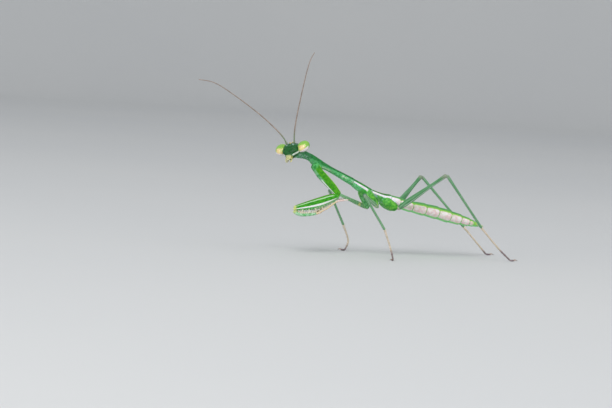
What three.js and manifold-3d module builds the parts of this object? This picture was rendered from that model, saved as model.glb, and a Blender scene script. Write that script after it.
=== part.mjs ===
// A young praying mantis at life size, standing on four legs with its grasping legs folded.
// Millimetres. -X is ahead of the insect, +X toward its tail, -Y its left side and +Z up.
// The four walking feet stand on z = 0, under the middle of the whole outline.
import * as THREE from 'three';
import { mergeVertices } from 'three/addons/utils/BufferGeometryUtils.js';
import Module from 'manifold-3d';

const wasm = await Module();
wasm.setup();

// ---------- driving dimensions ----------

const JOINT_GAP = 0.05; // clearance where one sub-part meets the next
const FINE = 0.25; // half thickness of the finest limbs and feelers

// The trunk's centre line in its middle plane, as [x, z], and the lengths that it is divided into.
const TRUNK_LINE = {
  collar: [0, 20.35], waist: [9.8, 15.85], hips: [19.1, 11.85], belly: [30, 9.55], tail: [41, 6.95],
};
const PRONOTUM_LENGTH = 11.1;
const MESOTHORAX_LENGTH = 4.8;
const METATHORAX_LENGTH = 4.7;
const ABDOMEN_LENGTHS = [2.2, 3.0, 3.1, 3.1, 3.0, 2.7, 2.2, 1.3, 0.9, 0.7];
const ABDOMEN_HALF_WIDTHS = [1.24, 1.52, 1.84, 2.04, 2.08, 1.96, 1.64, 1.22, 0.86, 0.6, 0.36];
const ABDOMEN_UPS = [1.18, 1.2, 1.2, 1.3, 1.32, 1.28, 1.08, 0.82, 0.6, 0.46, 0.32];
const ABDOMEN_DOWNS = [1.06, 1.06, 1.17, 1.3, 1.36, 1.38, 1.16, 0.88, 0.66, 0.48, 0.32];
const RING_FLARE = 0.07; // how far each abdomen ring stands out toward its rear edge
// The two short feelers at the tail: where each leaves the last rings and where its point is.
const CERCUS = { rootAhead: 1.1, rootOut: 0.6, tipBehind: 0.2, tipOut: 1.08, halves: [FINE, FINE, 0.2] };

// Half widths and half depths of the three thorax pieces, front to rear.
const PRONOTUM = {
  side: [0.55, 0.78, 0.98, 1.16, 1.0, 0.86, 0.8, 0.8, 0.84, 0.94, 0.98, 0.9],
  up: [0.94, 0.86, 0.78, 0.7, 0.6, 0.54, 0.52, 0.54, 0.58, 0.6, 0.6, 0.58],
  down: [0.52, 0.95, 1.24, 1.22, 0.82, 0.72, 0.72, 0.74, 0.8, 0.86, 0.92, 0.95],
};
const MESOTHORAX = {
  side: [0.86, 1.02, 1.16, 1.24, 1.2], up: [0.58, 0.55, 0.56, 0.52, 0.43], down: [0.95, 1.2, 1.36, 1.4, 1.36],
};
const METATHORAX = {
  side: [1.2, 1.3, 1.34, 1.3, 1.22], up: [0.43, 0.52, 0.68, 0.95, 1.18], down: [1.36, 1.42, 1.38, 1.22, 1.06],
};

// The head: its centre between the eyes, and in degrees its turn to the left, its lean and its upward look.
const HEAD_CENTRE = [-4.15, -0.7, 22.0];
const HEAD_TURN = 42;
const HEAD_LEAN = 12;
const HEAD_LOOK_UP = 44;
// The head capsule from crown to mouth: heights above the centre, and what stands out at each.
const HEAD_HEIGHTS = [1.2, 0.9, 0.5, 0, -0.7, -1.4, -2.0, -2.5];
const HEAD_HALF_WIDTHS = [0.95, 1.6, 1.82, 1.87, 1.87, 1.72, 1.15, 0.72];
const HEAD_FRONTS = [0.32, 0.7, 0.96, 1.06, 1.1, 1.04, 0.88, 0.65];
const HEAD_BACKS = [0.4, 0.78, 1.0, 1.12, 1.15, 1.1, 0.95, 0.72];
const HEAD_SIDES = 14;
const EYE_PLACE = { out: 2.52, front: -0.12, up: 0.3 }; // the middle of an eye from the middle of the head
const EYE_HALF = { across: 1.34, tall: 1.44, deep: 0.94 };
const EYE_SLANT = 38; // degrees that the eyes lean outward at the top
const LIP = { top: -2.5, bottom: -3.6, side: [0.62, 0.62, 0.31], depth: [0.42, 0.42, 0.21] };
// A palp's course, as [out, front, up] from the middle of the head.
const PALP_COURSE = [[0.46, -0.15, -2.6], [0.7, -0.2, -3.1], [0.54, -0.2, -3.7]];
const PALP_HALVES = [0.25, 0.23];
const NECK = {
  root: [0, -0.5, -0.55], bend: -0.6, collar: 0.1,
  sizes: { side: [0.78, 0.6], up: [0.66, 0.8], down: [1.03, 0.78] },
};
const ANTENNA_ROOT = { out: 0.82, front: 0.92, up: 0.45 };
const ANTENNA_STOUT = { length: 1.1, halves: [0.36, 0.36] };
const ANTENNA_COURSE = {
  left: [[-4.7, -3.0, 26.0], [-5.6, -7.5, 32.6], [-6.2, -13.0, 40.4], [-5.9, -14.4, 42.2]],
  right: [[-10.4, -1.2, 27.7], [-17.0, -2.2, 31.9], [-23.0, -3.4, 34.9], [-26.6, -4.2, 35.4]],
};

// Joint positions of the legs. The hip is where the coxa leaves the trunk, the turn is coxa to femur.
const GRASPING_STANCE = {
  fore_left: { hip: [0.95, -0.95, 19.2], turn: [6.5, -2.1, 12.65], knee: [-3.25, -1.4, 9.8] },
  fore_right: { hip: [1.3, 1.0, 18.95], turn: [8.3, 2.1, 12.4], knee: [-1.65, 1.4, 9.6] },
};
const WALKING_STANCE = {
  mid_left: {
    hip: [13.2, -1.1, 13.8], turn: [15.6, -1.75, 10.5], knee: [9.1, -9.3, 13.5],
    ankle: [14.15, -9.3, 6.4], bend: [16.0, -9.0, 2.1], toe: [16.65, -8.85, 0.2],
  },
  mid_right: {
    hip: [12.5, 1.1, 13.8], turn: [15.0, 1.75, 9.9], knee: [8.75, 9.2, 13.1],
    ankle: [12.4, 8.6, 5.6], bend: [13.8, 8.8, 2.1], toe: [13.2, 8.9, 0.2],
  },
  hind_left: {
    hip: [16.9, -1.1, 12.0], turn: [20.1, -1.8, 10.2], knee: [27.8, -8.75, 18.2],
    ankle: [37.6, -6.95, 7.1], bend: [42.5, -6.35, 2.5], toe: [45.4, -6.0, 0.2],
  },
  hind_right: {
    hip: [17.2, 1.1, 11.9], turn: [20.9, 1.8, 9.95], knee: [30.05, 8.6, 16.7],
    ankle: [40.0, 6.4, 6.0], bend: [43.2, 6.15, 2.7], toe: [45.6, 6.0, 0.2],
  },
};
const TOE_LENGTH = 1.0; // how far the last joint of a foot lies along the ground
const TOE_BEARING = { mid: 55, hind: 187 }; // degrees from straight ahead, turning outward

// Half thicknesses along each walking limb, from its near end to its far end.
const WALKING_LIMBS = {
  mid: {
    coxa: [0.62, 0.8, 0.7, 0.5], femur: [0.4, 0.5, 0.46, 0.4, 0.36, 0.42], tibia: [0.36, 0.3, 0.28, 0.3],
  },
  hind: {
    coxa: [0.74, 1.04, 0.98, 0.64], femur: [0.5, 0.66, 0.6, 0.48, 0.4, 0.48], tibia: [0.4, 0.32, 0.3, 0.32],
  },
};
const TARSUS = [0.29, 0.26, 0.25, 0.25, 0.28, 0.25];
const TOE = [0.28, 0.26];
const TARSUS_STEP = 1.4; // spacing of the rings along a foot
const CLAW = { length: 0.75, splay: 0.26, lift: 0.04, half: 0.13 };

// The grasping legs are deep and flat: half widths, and what stands out above and below the axis.
const FORE_COXA = {
  side: [0.44, 0.54, 0.54, 0.48, 0.42], up: [0.6, 0.56, 0.68, 0.8, 0.62], down: [0.8, 1.12, 1.12, 0.9, 0.58],
};
const FORE_FEMUR = {
  side: [0.36, 0.46, 0.5, 0.5, 0.47, 0.42, 0.37, 0.32],
  up: [0.45, 0.76, 0.8, 0.74, 0.66, 0.56, 0.46, 0.36],
  down: [0.45, 0.95, 1.35, 1.58, 1.52, 1.28, 0.95, 0.55],
};
const FORE_TIBIA = {
  side: [0.3, 0.3, 0.3, 0.27], up: [0.34, 0.33, 0.32, 0.26], down: [0.36, 0.33, 0.32, 0.26],
};
// Places on the folded shank and foot, as [back along the femur from its knee, below its axis, outward].
const SHANK_COURSE = [[-0.02, 0.75, 0], [1.0, 1.66, 0], [2.8, 2.2, 0], [4.6, 2.42, 0]];
const HOOK_COURSE = [[4.4, 2.4, 0], [5.4, 2.42, 0], [6.15, 1.98, 0]];
const FORE_FOOT_COURSE = [[4.3, 2.35, 0.6], [6.6, 1.75, 1.04], [9.1, 0.9, 1.02], [11.5, 1.15, 0.96]];
const FEMUR_SPINES = {
  inner: { count: 10, from: 0.2, to: 0.9, lengths: [0.34, 0.56], offset: -0.26 },
  outer: { count: 4, from: 0.42, to: 0.84, lengths: [0.56], offset: 0.28 },
  pads: { count: 3, from: 0.25, to: 0.36, lengths: [0.5, 0.66], offset: 0 },
};
const TIBIA_SPINES = {
  inner: { count: 7, from: 0.26, to: 0.92, lengths: [0.36, 0.46], offset: -0.16 },
  outer: { count: 7, from: 0.3, to: 0.9, lengths: [0.4, 0.5], offset: 0.16 },
};
const HOOK_HALVES = [FINE, 0.2, 0.11];
const SPINE_HALF = 0.11;
const SPINE_SINK = 0.8; // share of the limb's depth at which its spines are rooted
const SPINE_SPLAY = 0.8; // how strongly a row leans away from the middle of the limb

const TIDY = 0.01; // slivers thinner than this are merged away after the cuts

const COLOURS = {
  leaf: 0x2a8a35, frons: 0x265e2d, bright: 0x459a2a, mint: 0x6fae78, pale: 0x93c98b,
  eye: 0x9dd05a, cream: 0xb9ab92, feeler: 0x8d8177, mouth: 0x9a9f62,
};
const ROUGHNESS = {
  leaf: 0.42, frons: 0.45, bright: 0.4, mint: 0.45, pale: 0.45,
  eye: 0.2, cream: 0.5, feeler: 0.6, mouth: 0.45,
};

// ---------- shaping tools ----------

const UP = new THREE.Vector3(0, 0, 1);
const ACROSS = new THREE.Vector3(0, 1, 0);
const vec = (place) => new THREE.Vector3(...place);
const inRadians = THREE.MathUtils.degToRad;

/** A value read off evenly spaced stations, for t from 0 to 1. */
function along(stations, t) {
  const place = THREE.MathUtils.clamp(t, 0, 1) * (stations.length - 1);
  const low = Math.min(Math.floor(place), stations.length - 2);
  return THREE.MathUtils.lerp(stations[low], stations[low + 1], place - low);
}

const sizesOf = ({ side, up, down }) => (t) => (
  { side: along(side, t), up: along(up, t), down: along(down, t) });
const roundSizes = (stations) => sizesOf({ side: stations, up: stations, down: stations });

function solidFromGeometry(geometry) {
  geometry.deleteAttribute('normal');
  geometry.deleteAttribute('uv');
  const merged = mergeVertices(geometry, 1e-5);
  return new wasm.Manifold(new wasm.Mesh({
    numProp: 3,
    vertProperties: new Float32Array(merged.attributes.position.array),
    triVerts: new Uint32Array(merged.index.array),
  }));
}

function enclosedVolume(points, faces) {
  let volume = 0;
  for (let f = 0; f < faces.length; f += 3) {
    const [a, b, c] = [points[faces[f]], points[faces[f + 1]], points[faces[f + 2]]];
    volume += new THREE.Vector3().crossVectors(b, c).dot(a) / 6;
  }
  return volume;
}

/** Closes rings of points into one solid, with a flat fan over each end. */
function solidFromRings(rings) {
  const sides = rings[0].length;
  const points = rings.flat();
  const faces = [];
  for (let r = 0; r < rings.length - 1; r++) {
    for (let s = 0; s < sides; s++) {
      const a = r * sides + s;
      const b = r * sides + ((s + 1) % sides);
      faces.push(a, b, b + sides, a, b + sides, a + sides);
    }
  }
  const [firstMiddle, lastMiddle] = [rings[0], rings.at(-1)].map((ring) => {
    const middle = ring.reduce((sum, point) => sum.add(point), new THREE.Vector3());
    return points.push(middle.divideScalar(sides)) - 1;
  });
  const lastRing = (rings.length - 1) * sides;
  for (let s = 0; s < sides; s++) {
    const next = (s + 1) % sides;
    faces.push(next, s, firstMiddle, lastRing + s, lastRing + next, lastMiddle);
  }
  if (enclosedVolume(points, faces) < 0) faces.reverse();
  const geometry = new THREE.BufferGeometry().setFromPoints(points);
  geometry.setIndex(faces);
  return solidFromGeometry(geometry);
}

/** A ring across a path: half sizes to the side, upward and downward of its centre. */
function ringAt(centre, side, up, half, sides) {
  return Array.from({ length: sides }, (_, s) => {
    const angle = ((s + 0.5) / sides) * 2 * Math.PI;
    const lift = Math.sin(angle) * (Math.sin(angle) > 0 ? half.up : half.down);
    return centre.clone().addScaledVector(side, Math.cos(angle) * half.side).addScaledVector(up, lift);
  });
}

const scaled = (half, scale, grow) => ({
  side: half.side * scale + grow, up: half.up * scale + grow, down: half.down * scale + grow,
});

// A rounded end as [share of the end radius inward, share of the full girth].
const ROUNDED_END = [[0, 0.55], [0.7, 1]];

/** The place, side and up directions at a distance along a curve, straight on beyond its ends. */
function frameOn(curve, distance, ref) {
  const length = curve.getLength();
  const t = THREE.MathUtils.clamp(distance / length, 0, 1);
  const tangent = curve.getTangentAt(t);
  const place = curve.getPointAt(t).addScaledVector(tangent, distance - t * length);
  const side = new THREE.Vector3().crossVectors(ref, tangent).normalize();
  return { t, place, tangent, side, up: new THREE.Vector3().crossVectors(tangent, side) };
}

/** A limb along a curve with rounded ends. sizes(t) gives its half sizes, and grow thickens it all round. */
function limb(curve, sizes, grow, { sides = 8, steps = 4, ref = UP } = {}) {
  const length = curve.getLength();
  const [startRadius, endRadius] = [0, 1].map((end) => Math.min(sizes(end).side, sizes(end).up, length / 4));
  const inner = Array.from({ length: steps - 1 }, (_, i) => [((i + 1) / steps) * length, 1]);
  const stations = [
    ...ROUNDED_END.map(([inward, scale]) => [inward * startRadius - grow, scale]),
    ...inner,
    ...ROUNDED_END.map(([inward, scale]) => [length - inward * endRadius + grow, scale]),
  ].sort((a, b) => a[0] - b[0]);
  return solidFromRings(stations.map(([distance, scale]) => {
    const at = frameOn(curve, distance, ref);
    return ringAt(at.place, at.side, at.up, scaled(sizes(at.t), scale, grow), sides);
  }));
}

const straight = (from, to) => new THREE.LineCurve3(vec(from), vec(to));
const bent = (points) => new THREE.CatmullRomCurve3(points, false, 'centripetal');

/** A four-sided spine or claw from its root to its point. */
function spine(root, tip, half, grow) {
  const course = new THREE.Vector3().subVectors(tip, root);
  const cone = new THREE.ConeGeometry(half + grow, course.length() + 2 * grow, 4);
  cone.applyQuaternion(new THREE.Quaternion().setFromUnitVectors(ACROSS, course.clone().normalize()));
  const middle = root.clone().addScaledVector(course, 0.5);
  return solidFromGeometry(cone.translate(middle.x, middle.y, middle.z));
}

const joined = (solids) => solids.reduce((whole, next) => whole.add(next));

// ---------- trunk ----------

const trunkLine = bent(Object.values(TRUNK_LINE).map(([x, z]) => new THREE.Vector3(x, 0, z)));

/** A length of trunk between two distances behind the collar, its half sizes read off a table. */
function trunkPiece(from, to, table, sides = 12) {
  const steps = table.side.length - 1;
  const sizes = sizesOf(table);
  return (grow) => solidFromRings(Array.from({ length: steps + 1 }, (_, i) => {
    const t = i / steps;
    const distance = THREE.MathUtils.lerp(from, to, t) + grow * (2 * t - 1);
    const at = frameOn(trunkLine, distance, UP);
    return ringAt(at.place, at.side, at.up, scaled(sizes(t), 1, grow), sides);
  }));
}

const mesothoraxStart = PRONOTUM_LENGTH;
const metathoraxStart = mesothoraxStart + MESOTHORAX_LENGTH;
const abdomenStart = metathoraxStart + METATHORAX_LENGTH;

/** One abdomen ring: narrow where it leaves the ring ahead of it, flared toward its rear edge. */
function abdomenRing(index) {
  const start = abdomenStart + ABDOMEN_LENGTHS.slice(0, index).reduce((sum, length) => sum + length, 0);
  const end = start + ABDOMEN_LENGTHS[index] - JOINT_GAP;
  const flare = [-RING_FLARE, RING_FLARE / 4, RING_FLARE, 0];
  const stations = ([front, rear]) => flare.map((extra, i) => (
    THREE.MathUtils.lerp(front, rear, i / (flare.length - 1)) + extra));
  const [side, up, down] = [ABDOMEN_HALF_WIDTHS, ABDOMEN_UPS, ABDOMEN_DOWNS].map((halves) => (
    stations(halves.slice(index, index + 2))));
  return trunkPiece(start, end, { side, up, down });
}

/** One of the two short feelers at the tail, on one side: -1 is left and 1 is right. */
function cercus(out) {
  const tailEnd = abdomenStart + ABDOMEN_LENGTHS.reduce((sum, length) => sum + length, 0);
  const atTail = (behind, outward) => frameOn(trunkLine, tailEnd + behind, UP).place.setY(out * outward);
  const root = atTail(-CERCUS.rootAhead, CERCUS.rootOut);
  const course = new THREE.LineCurve3(root, atTail(CERCUS.tipBehind, CERCUS.tipOut));
  return (grow) => limb(course, roundSizes(CERCUS.halves), grow, { sides: 6, steps: 1 });
}

// ---------- head ----------

/** Head directions: out toward its left eye, front along its gaze, up toward its crown. */
function headDirections() {
  const turn = inRadians(HEAD_TURN);
  const ahead = new THREE.Vector3(-Math.cos(turn), -Math.sin(turn), 0);
  const out = new THREE.Vector3().crossVectors(UP, ahead);
  const front = ahead.clone().applyAxisAngle(out, -inRadians(HEAD_LOOK_UP));
  const up = new THREE.Vector3().crossVectors(front, out);
  for (const direction of [out, front, up]) direction.applyAxisAngle(ahead, inRadians(HEAD_LEAN));
  return { out, front, up };
}

const head = headDirections();
const inHead = (out, front, up) => vec(HEAD_CENTRE)
  .addScaledVector(head.out, out)
  .addScaledVector(head.front, front)
  .addScaledVector(head.up, up);

const headCapsule = (grow) => solidFromRings(HEAD_HEIGHTS.map((height, i) => {
  const half = { side: HEAD_HALF_WIDTHS[i], up: HEAD_FRONTS[i], down: HEAD_BACKS[i] };
  const spread = grow * (1 - (2 * i) / (HEAD_HEIGHTS.length - 1));
  return ringAt(inHead(0, 0, height + spread), head.out, head.front, scaled(half, 1, grow), HEAD_SIDES);
}));

/** A compound eye, on one side: 1 is the insect's left and -1 its right. */
const eye = (out) => (grow) => {
  const lean = -out * inRadians(EYE_SLANT);
  const across = head.out.clone().applyAxisAngle(head.front, lean).multiplyScalar(EYE_HALF.across + grow);
  const tall = head.up.clone().applyAxisAngle(head.front, lean).multiplyScalar(EYE_HALF.tall + grow);
  const deep = head.front.clone().multiplyScalar(EYE_HALF.deep + grow);
  const middle = inHead(out * EYE_PLACE.out, EYE_PLACE.front, EYE_PLACE.up);
  const place = new THREE.Matrix4().makeBasis(across, tall, deep).setPosition(middle);
  return solidFromGeometry(new THREE.SphereGeometry(1, 12, 9).applyMatrix4(place));
};

/** The lip with the palps that hang behind it. */
const mouthparts = (grow) => {
  const lipLine = new THREE.LineCurve3(inHead(0, 0, LIP.top), inHead(0, 0, LIP.bottom));
  const lipSizes = sizesOf({ side: LIP.side, up: LIP.depth, down: LIP.depth });
  const palp = (outSign) => limb(
    bent(PALP_COURSE.map(([out, front, up]) => inHead(outSign * out, front, up))),
    roundSizes(PALP_HALVES), grow, { sides: 5, steps: 2, ref: head.front });
  return joined([limb(lipLine, lipSizes, grow, { steps: 2, ref: head.front }), palp(-1), palp(1)]);
};

const neck = (grow) => {
  const [bend, collar] = [NECK.bend, NECK.collar].map((distance) => frameOn(trunkLine, distance, UP).place);
  const course = bent([inHead(...NECK.root), bend, collar]);
  return limb(course, sizesOf(NECK.sizes), grow, { sides: 10, steps: 2 });
};

/** A feeler on one side: its stout root joint, then the long thread. */
const antenna = (sideName, out) => (grow) => {
  const root = inHead(out * ANTENNA_ROOT.out, ANTENNA_ROOT.front, ANTENNA_ROOT.up);
  const course = bent([root, ...ANTENNA_COURSE[sideName].map(vec)]);
  const stout = new THREE.LineCurve3(root, course.getPointAt(ANTENNA_STOUT.length / course.getLength()));
  return joined([
    limb(course, roundSizes([FINE, FINE]), grow, { sides: 6, steps: 10 }),
    limb(stout, roundSizes(ANTENNA_STOUT.halves), grow, { sides: 6, steps: 1 }),
  ]);
};

// ---------- grasping legs ----------

/** A row of spines under a limb: where it starts and stops, how long they are, and how far out it stands. */
function spineRow(curve, sizes, row, outward, towardBelly, grow) {
  return Array.from({ length: row.count }, (_, i) => {
    const t = THREE.MathUtils.lerp(row.from, row.to, row.count > 1 ? i / (row.count - 1) : 0);
    const at = frameOn(curve, t * curve.getLength(), UP);
    const belly = at.up.clone().multiplyScalar(towardBelly);
    const depth = towardBelly < 0 ? sizes(t).down : sizes(t).up;
    const root = at.place.addScaledVector(belly, depth * SPINE_SINK).addScaledVector(outward, row.offset);
    const length = row.lengths[i % row.lengths.length] + depth * (1 - SPINE_SINK);
    const lean = belly.clone().addScaledVector(outward, row.offset * SPINE_SPLAY).normalize();
    return spine(root, root.clone().addScaledVector(lean, length), SPINE_HALF, grow);
  });
}

/** The coxa, femur, tibia and tarsus of one grasping leg. The tibia lies folded back under the femur. */
function graspingLeg(name, stance) {
  const outward = new THREE.Vector3(0, Math.sign(stance.hip[1]), 0);
  const [turn, knee] = [vec(stance.turn), vec(stance.knee)];
  const back = new THREE.Vector3().subVectors(turn, knee).normalize();
  const below = new THREE.Vector3().crossVectors(ACROSS, back).normalize();
  const folded = ([reach, drop, out]) => knee.clone()
    .addScaledVector(back, reach).addScaledVector(below, drop).addScaledVector(outward, out);
  const femurLine = straight(stance.turn, stance.knee);
  const shankLine = bent(SHANK_COURSE.map(folded));
  const femurSizes = sizesOf(FORE_FEMUR);
  const shankSizes = sizesOf(FORE_TIBIA);
  const coxaLine = straight(stance.hip, stance.turn);
  const coxa = (grow) => limb(coxaLine, sizesOf(FORE_COXA), grow, { sides: 10, steps: 4 });
  const femur = (grow) => joined([
    limb(femurLine, femurSizes, grow, { sides: 10, steps: 7 }),
    ...Object.values(FEMUR_SPINES).flatMap((row) => spineRow(femurLine, femurSizes, row, outward, -1, grow)),
  ]);
  const tibia = (grow) => joined([
    limb(shankLine, shankSizes, grow, { sides: 8, steps: 5 }),
    limb(bent(HOOK_COURSE.map(folded)), roundSizes(HOOK_HALVES), grow, { sides: 6, steps: 4 }),
    ...Object.values(TIBIA_SPINES).flatMap((row) => spineRow(shankLine, shankSizes, row, outward, 1, grow)),
  ]);
  const footLine = bent(FORE_FOOT_COURSE.map(folded));
  const tarsus = (grow) => limb(footLine, roundSizes(TARSUS), grow, { sides: 6, steps: 5 });
  addPart(`${name}_coxa`, coxa, 'bright');
  addPart(`${name}_femur`, femur, 'bright');
  addPart(`${name}_tibia`, tibia, 'pale');
  addPart(`${name}_tarsus`, tarsus, 'cream');
}

// ---------- walking legs ----------

/** The coxa, femur, tibia and tarsus of one walking leg, down to a toe that lies on the ground. */
function walkingLeg(name, stance) {
  const pair = name.split('_')[0];
  const girth = WALKING_LIMBS[pair];
  const toe = vec(stance.toe);
  const bearing = inRadians(TOE_BEARING[pair]);
  const heading = new THREE.Vector3(-Math.cos(bearing), Math.sign(stance.hip[1]) * Math.sin(bearing), 0);
  const tip = toe.clone().addScaledVector(heading, TOE_LENGTH);
  const shinToToe = bent([vec(stance.ankle), vec(stance.bend), toe]);
  const steps = Math.round(shinToToe.getLength() / TARSUS_STEP);
  const aside = new THREE.Vector3().crossVectors(UP, heading);
  const clawRoot = tip.clone().addScaledVector(heading, -CLAW.half).addScaledVector(UP, CLAW.lift);
  const clawPoint = (out) => tip.clone()
    .addScaledVector(heading, CLAW.length).addScaledVector(aside, out * CLAW.splay);
  const tarsus = (grow) => joined([
    limb(shinToToe, roundSizes(TARSUS), grow, { sides: 6, steps, ref: ACROSS }),
    limb(new THREE.LineCurve3(toe, tip), roundSizes(TOE), grow, { sides: 6, steps: 1, ref: UP }),
    ...[-1, 1].map((out) => spine(clawRoot, clawPoint(out), CLAW.half, grow)),
  ]).subtract(ground);
  const segment = (from, to, sizes, options) => (grow) => (
    limb(straight(stance[from], stance[to]), roundSizes(sizes), grow, options));
  addPart(`${name}_coxa`, segment('hip', 'turn', girth.coxa, { sides: 10, steps: 3 }), 'bright');
  addPart(`${name}_femur`, segment('turn', 'knee', girth.femur, { sides: 8, steps: 5 }), 'leaf');
  const tibiaRings = { sides: 8, steps: 3, ref: ACROSS };
  addPart(`${name}_tibia`, segment('knee', 'ankle', girth.tibia, tibiaRings), 'mint');
  addPart(`${name}_tarsus`, tarsus, 'cream');
}

// What lies below the ground is cut off, so each toe stands on a small flat.
const GROUND_SIZE = 200;
const ground = solidFromGeometry(new THREE.BoxGeometry(GROUND_SIZE, GROUND_SIZE, 10).translate(0, 0, -5));

// ---------- the whole insect ----------

const parts = [];

/** Keeps a sub-part's shape. Where two sub-parts meet, the later one is cut back by the earlier. */
function addPart(name, shape, colour) {
  const whole = shape(0);
  const reach = whole.boundingBox();
  let solid = whole;
  for (const other of parts) {
    if (overlaps(reach, other.reach)) solid = solid.subtract(other.shape(JOINT_GAP));
  }
  parts.push({ name, shape, reach, solid: largestPiece(solid), colour });
}

function overlaps(a, b) {
  return [0, 1, 2].every((axis) => (
    a.min[axis] < b.max[axis] + JOINT_GAP * 2 && b.min[axis] < a.max[axis] + JOINT_GAP * 2));
}

function largestPiece(solid) {
  return solid.decompose().reduce((best, piece) => (piece.volume() > best.volume() ? piece : best));
}

function meshOf({ name, solid, colour }) {
  const { vertProperties, triVerts } = solid.simplify(TIDY).getMesh();
  const geometry = new THREE.BufferGeometry();
  geometry.setAttribute('position', new THREE.BufferAttribute(vertProperties, 3));
  geometry.setIndex(new THREE.BufferAttribute(triVerts, 1));
  geometry.computeVertexNormals();
  const material = new THREE.MeshStandardMaterial({ color: COLOURS[colour], roughness: ROUGHNESS[colour] });
  material.metalness = 0;
  const mesh = new THREE.Mesh(geometry, material);
  mesh.name = name;
  return mesh;
}

addPart('eye_left', eye(1), 'eye');
addPart('eye_right', eye(-1), 'eye');
addPart('head', headCapsule, 'frons');
addPart('mouthparts', mouthparts, 'mouth');
addPart('antenna_left', antenna('left', 1), 'feeler');
addPart('antenna_right', antenna('right', -1), 'feeler');
addPart('pronotum', trunkPiece(0, mesothoraxStart - JOINT_GAP, PRONOTUM), 'leaf');
addPart('neck', neck, 'frons');
addPart('mesothorax', trunkPiece(mesothoraxStart, metathoraxStart - JOINT_GAP, MESOTHORAX), 'mint');
addPart('metathorax', trunkPiece(metathoraxStart, abdomenStart - JOINT_GAP, METATHORAX), 'mint');
ABDOMEN_LENGTHS.forEach((_, index) => addPart(`abdomen_${index + 1}`, abdomenRing(index), 'pale'));
addPart('cercus_left', cercus(-1), 'pale');
addPart('cercus_right', cercus(1), 'pale');
for (const [name, stance] of Object.entries(GRASPING_STANCE)) graspingLeg(name, stance);
for (const [name, stance] of Object.entries(WALKING_STANCE)) walkingLeg(name, stance);

const mantis = new THREE.Group();
mantis.add(...parts.map(meshOf));

// The origin is on the ground under the middle of the outline.
const outline = new THREE.Box3().setFromObject(mantis);
const middle = outline.getCenter(new THREE.Vector3());
mantis.position.set(-middle.x, -middle.y, -outline.min.z);

export default mantis;
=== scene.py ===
import math

import bmesh
import bpy
import numpy as np
from mathutils import Matrix, Quaternion, Vector


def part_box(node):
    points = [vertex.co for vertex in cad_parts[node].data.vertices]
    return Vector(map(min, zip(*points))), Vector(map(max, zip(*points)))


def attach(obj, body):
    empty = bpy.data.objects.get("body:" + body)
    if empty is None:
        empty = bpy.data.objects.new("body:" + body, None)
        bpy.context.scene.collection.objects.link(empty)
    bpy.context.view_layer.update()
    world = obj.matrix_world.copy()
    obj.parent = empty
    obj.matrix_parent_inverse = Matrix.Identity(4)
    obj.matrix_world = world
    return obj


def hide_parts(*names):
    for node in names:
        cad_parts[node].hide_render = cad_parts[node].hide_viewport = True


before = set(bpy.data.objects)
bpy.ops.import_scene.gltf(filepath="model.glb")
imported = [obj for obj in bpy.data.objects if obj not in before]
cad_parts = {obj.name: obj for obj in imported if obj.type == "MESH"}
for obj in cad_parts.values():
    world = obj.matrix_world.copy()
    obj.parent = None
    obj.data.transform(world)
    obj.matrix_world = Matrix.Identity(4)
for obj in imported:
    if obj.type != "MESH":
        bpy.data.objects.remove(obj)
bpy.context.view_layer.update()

# ---------- The camera ----------
# A long lens on the insect's left side, a little ahead of it and hardly above its own level.
# It is rolled by a few degrees, so the insect's back slopes a little more than it stands.
MM = 0.001
COLLAR_BEHIND_LOW_X = 0.2096 * MM
pronotum_low, pronotum_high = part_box("pronotum")
# The insect's own place: on the ground, in its middle plane, under the front of the pronotum.
HOME = np.array([pronotum_low.x + COLLAR_BEHIND_LOW_X, (pronotum_low.y + pronotum_high.y) / 2, 0])
# Turns in degrees, lengths in millimetres, and the angle that the lens takes in across.
VIEW = {"azimuth": -22, "elevation": 4.2, "roll": 3.406, "distance": 454, "aim_height": 10.55, "angle": 16}
SENSOR_WIDTH, NEAREST, FURTHEST = 36, 0.01, 10

azimuth, elevation, roll = (math.radians(VIEW[turn]) for turn in ("azimuth", "elevation", "roll"))
toward_camera = Vector((math.sin(azimuth) * math.cos(elevation), -math.cos(azimuth) * math.cos(elevation),
                        math.sin(elevation)))
level_right = Vector((math.cos(azimuth), math.sin(azimuth), 0))
level_up = toward_camera.cross(level_right)
right = level_right * math.cos(roll) + level_up * math.sin(roll)
up = level_up * math.cos(roll) - level_right * math.sin(roll)
camera = bpy.data.objects.new("camera", bpy.data.cameras.new("camera"))
camera.data.sensor_width = SENSOR_WIDTH
camera.data.lens = SENSOR_WIDTH / 2 / math.tan(math.radians(VIEW["angle"] / 2))
camera.data.clip_start, camera.data.clip_end = NEAREST, FURTHEST
aim = Vector(HOME) + Vector((0, 0, VIEW["aim_height"] * MM))
stand_point = aim + toward_camera * VIEW["distance"] * MM
camera.matrix_world = (Matrix.Translation(stand_point)
                       @ Matrix((right, up, toward_camera)).transposed().to_4x4())
bpy.context.scene.collection.objects.link(camera)
bpy.context.scene.camera = camera

# ---------- The trunk ----------
# Pronotum, middle and hind thorax and ten abdomen rings follow one another on one bent line.
# Each is a plate of cuticle over soft flesh. The rear edge of each stands over the one behind.
TRUNK_LINE = [[0, 0, 20.35], [9.8, 0, 15.85], [19.1, 0, 11.85], [30, 0, 9.55], [41, 0, 6.95]]
PRONOTUM_END, MESOTHORAX_END, METATHORAX_END = 11.1, 15.9, 20.6
ABDOMEN_LENGTHS = [2.2, 3.0, 3.1, 3.1, 3.0, 2.7, 2.2, 1.3, 0.9, 0.7]
RING_EDGES = METATHORAX_END + np.cumsum([0] + ABDOMEN_LENGTHS)
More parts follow.
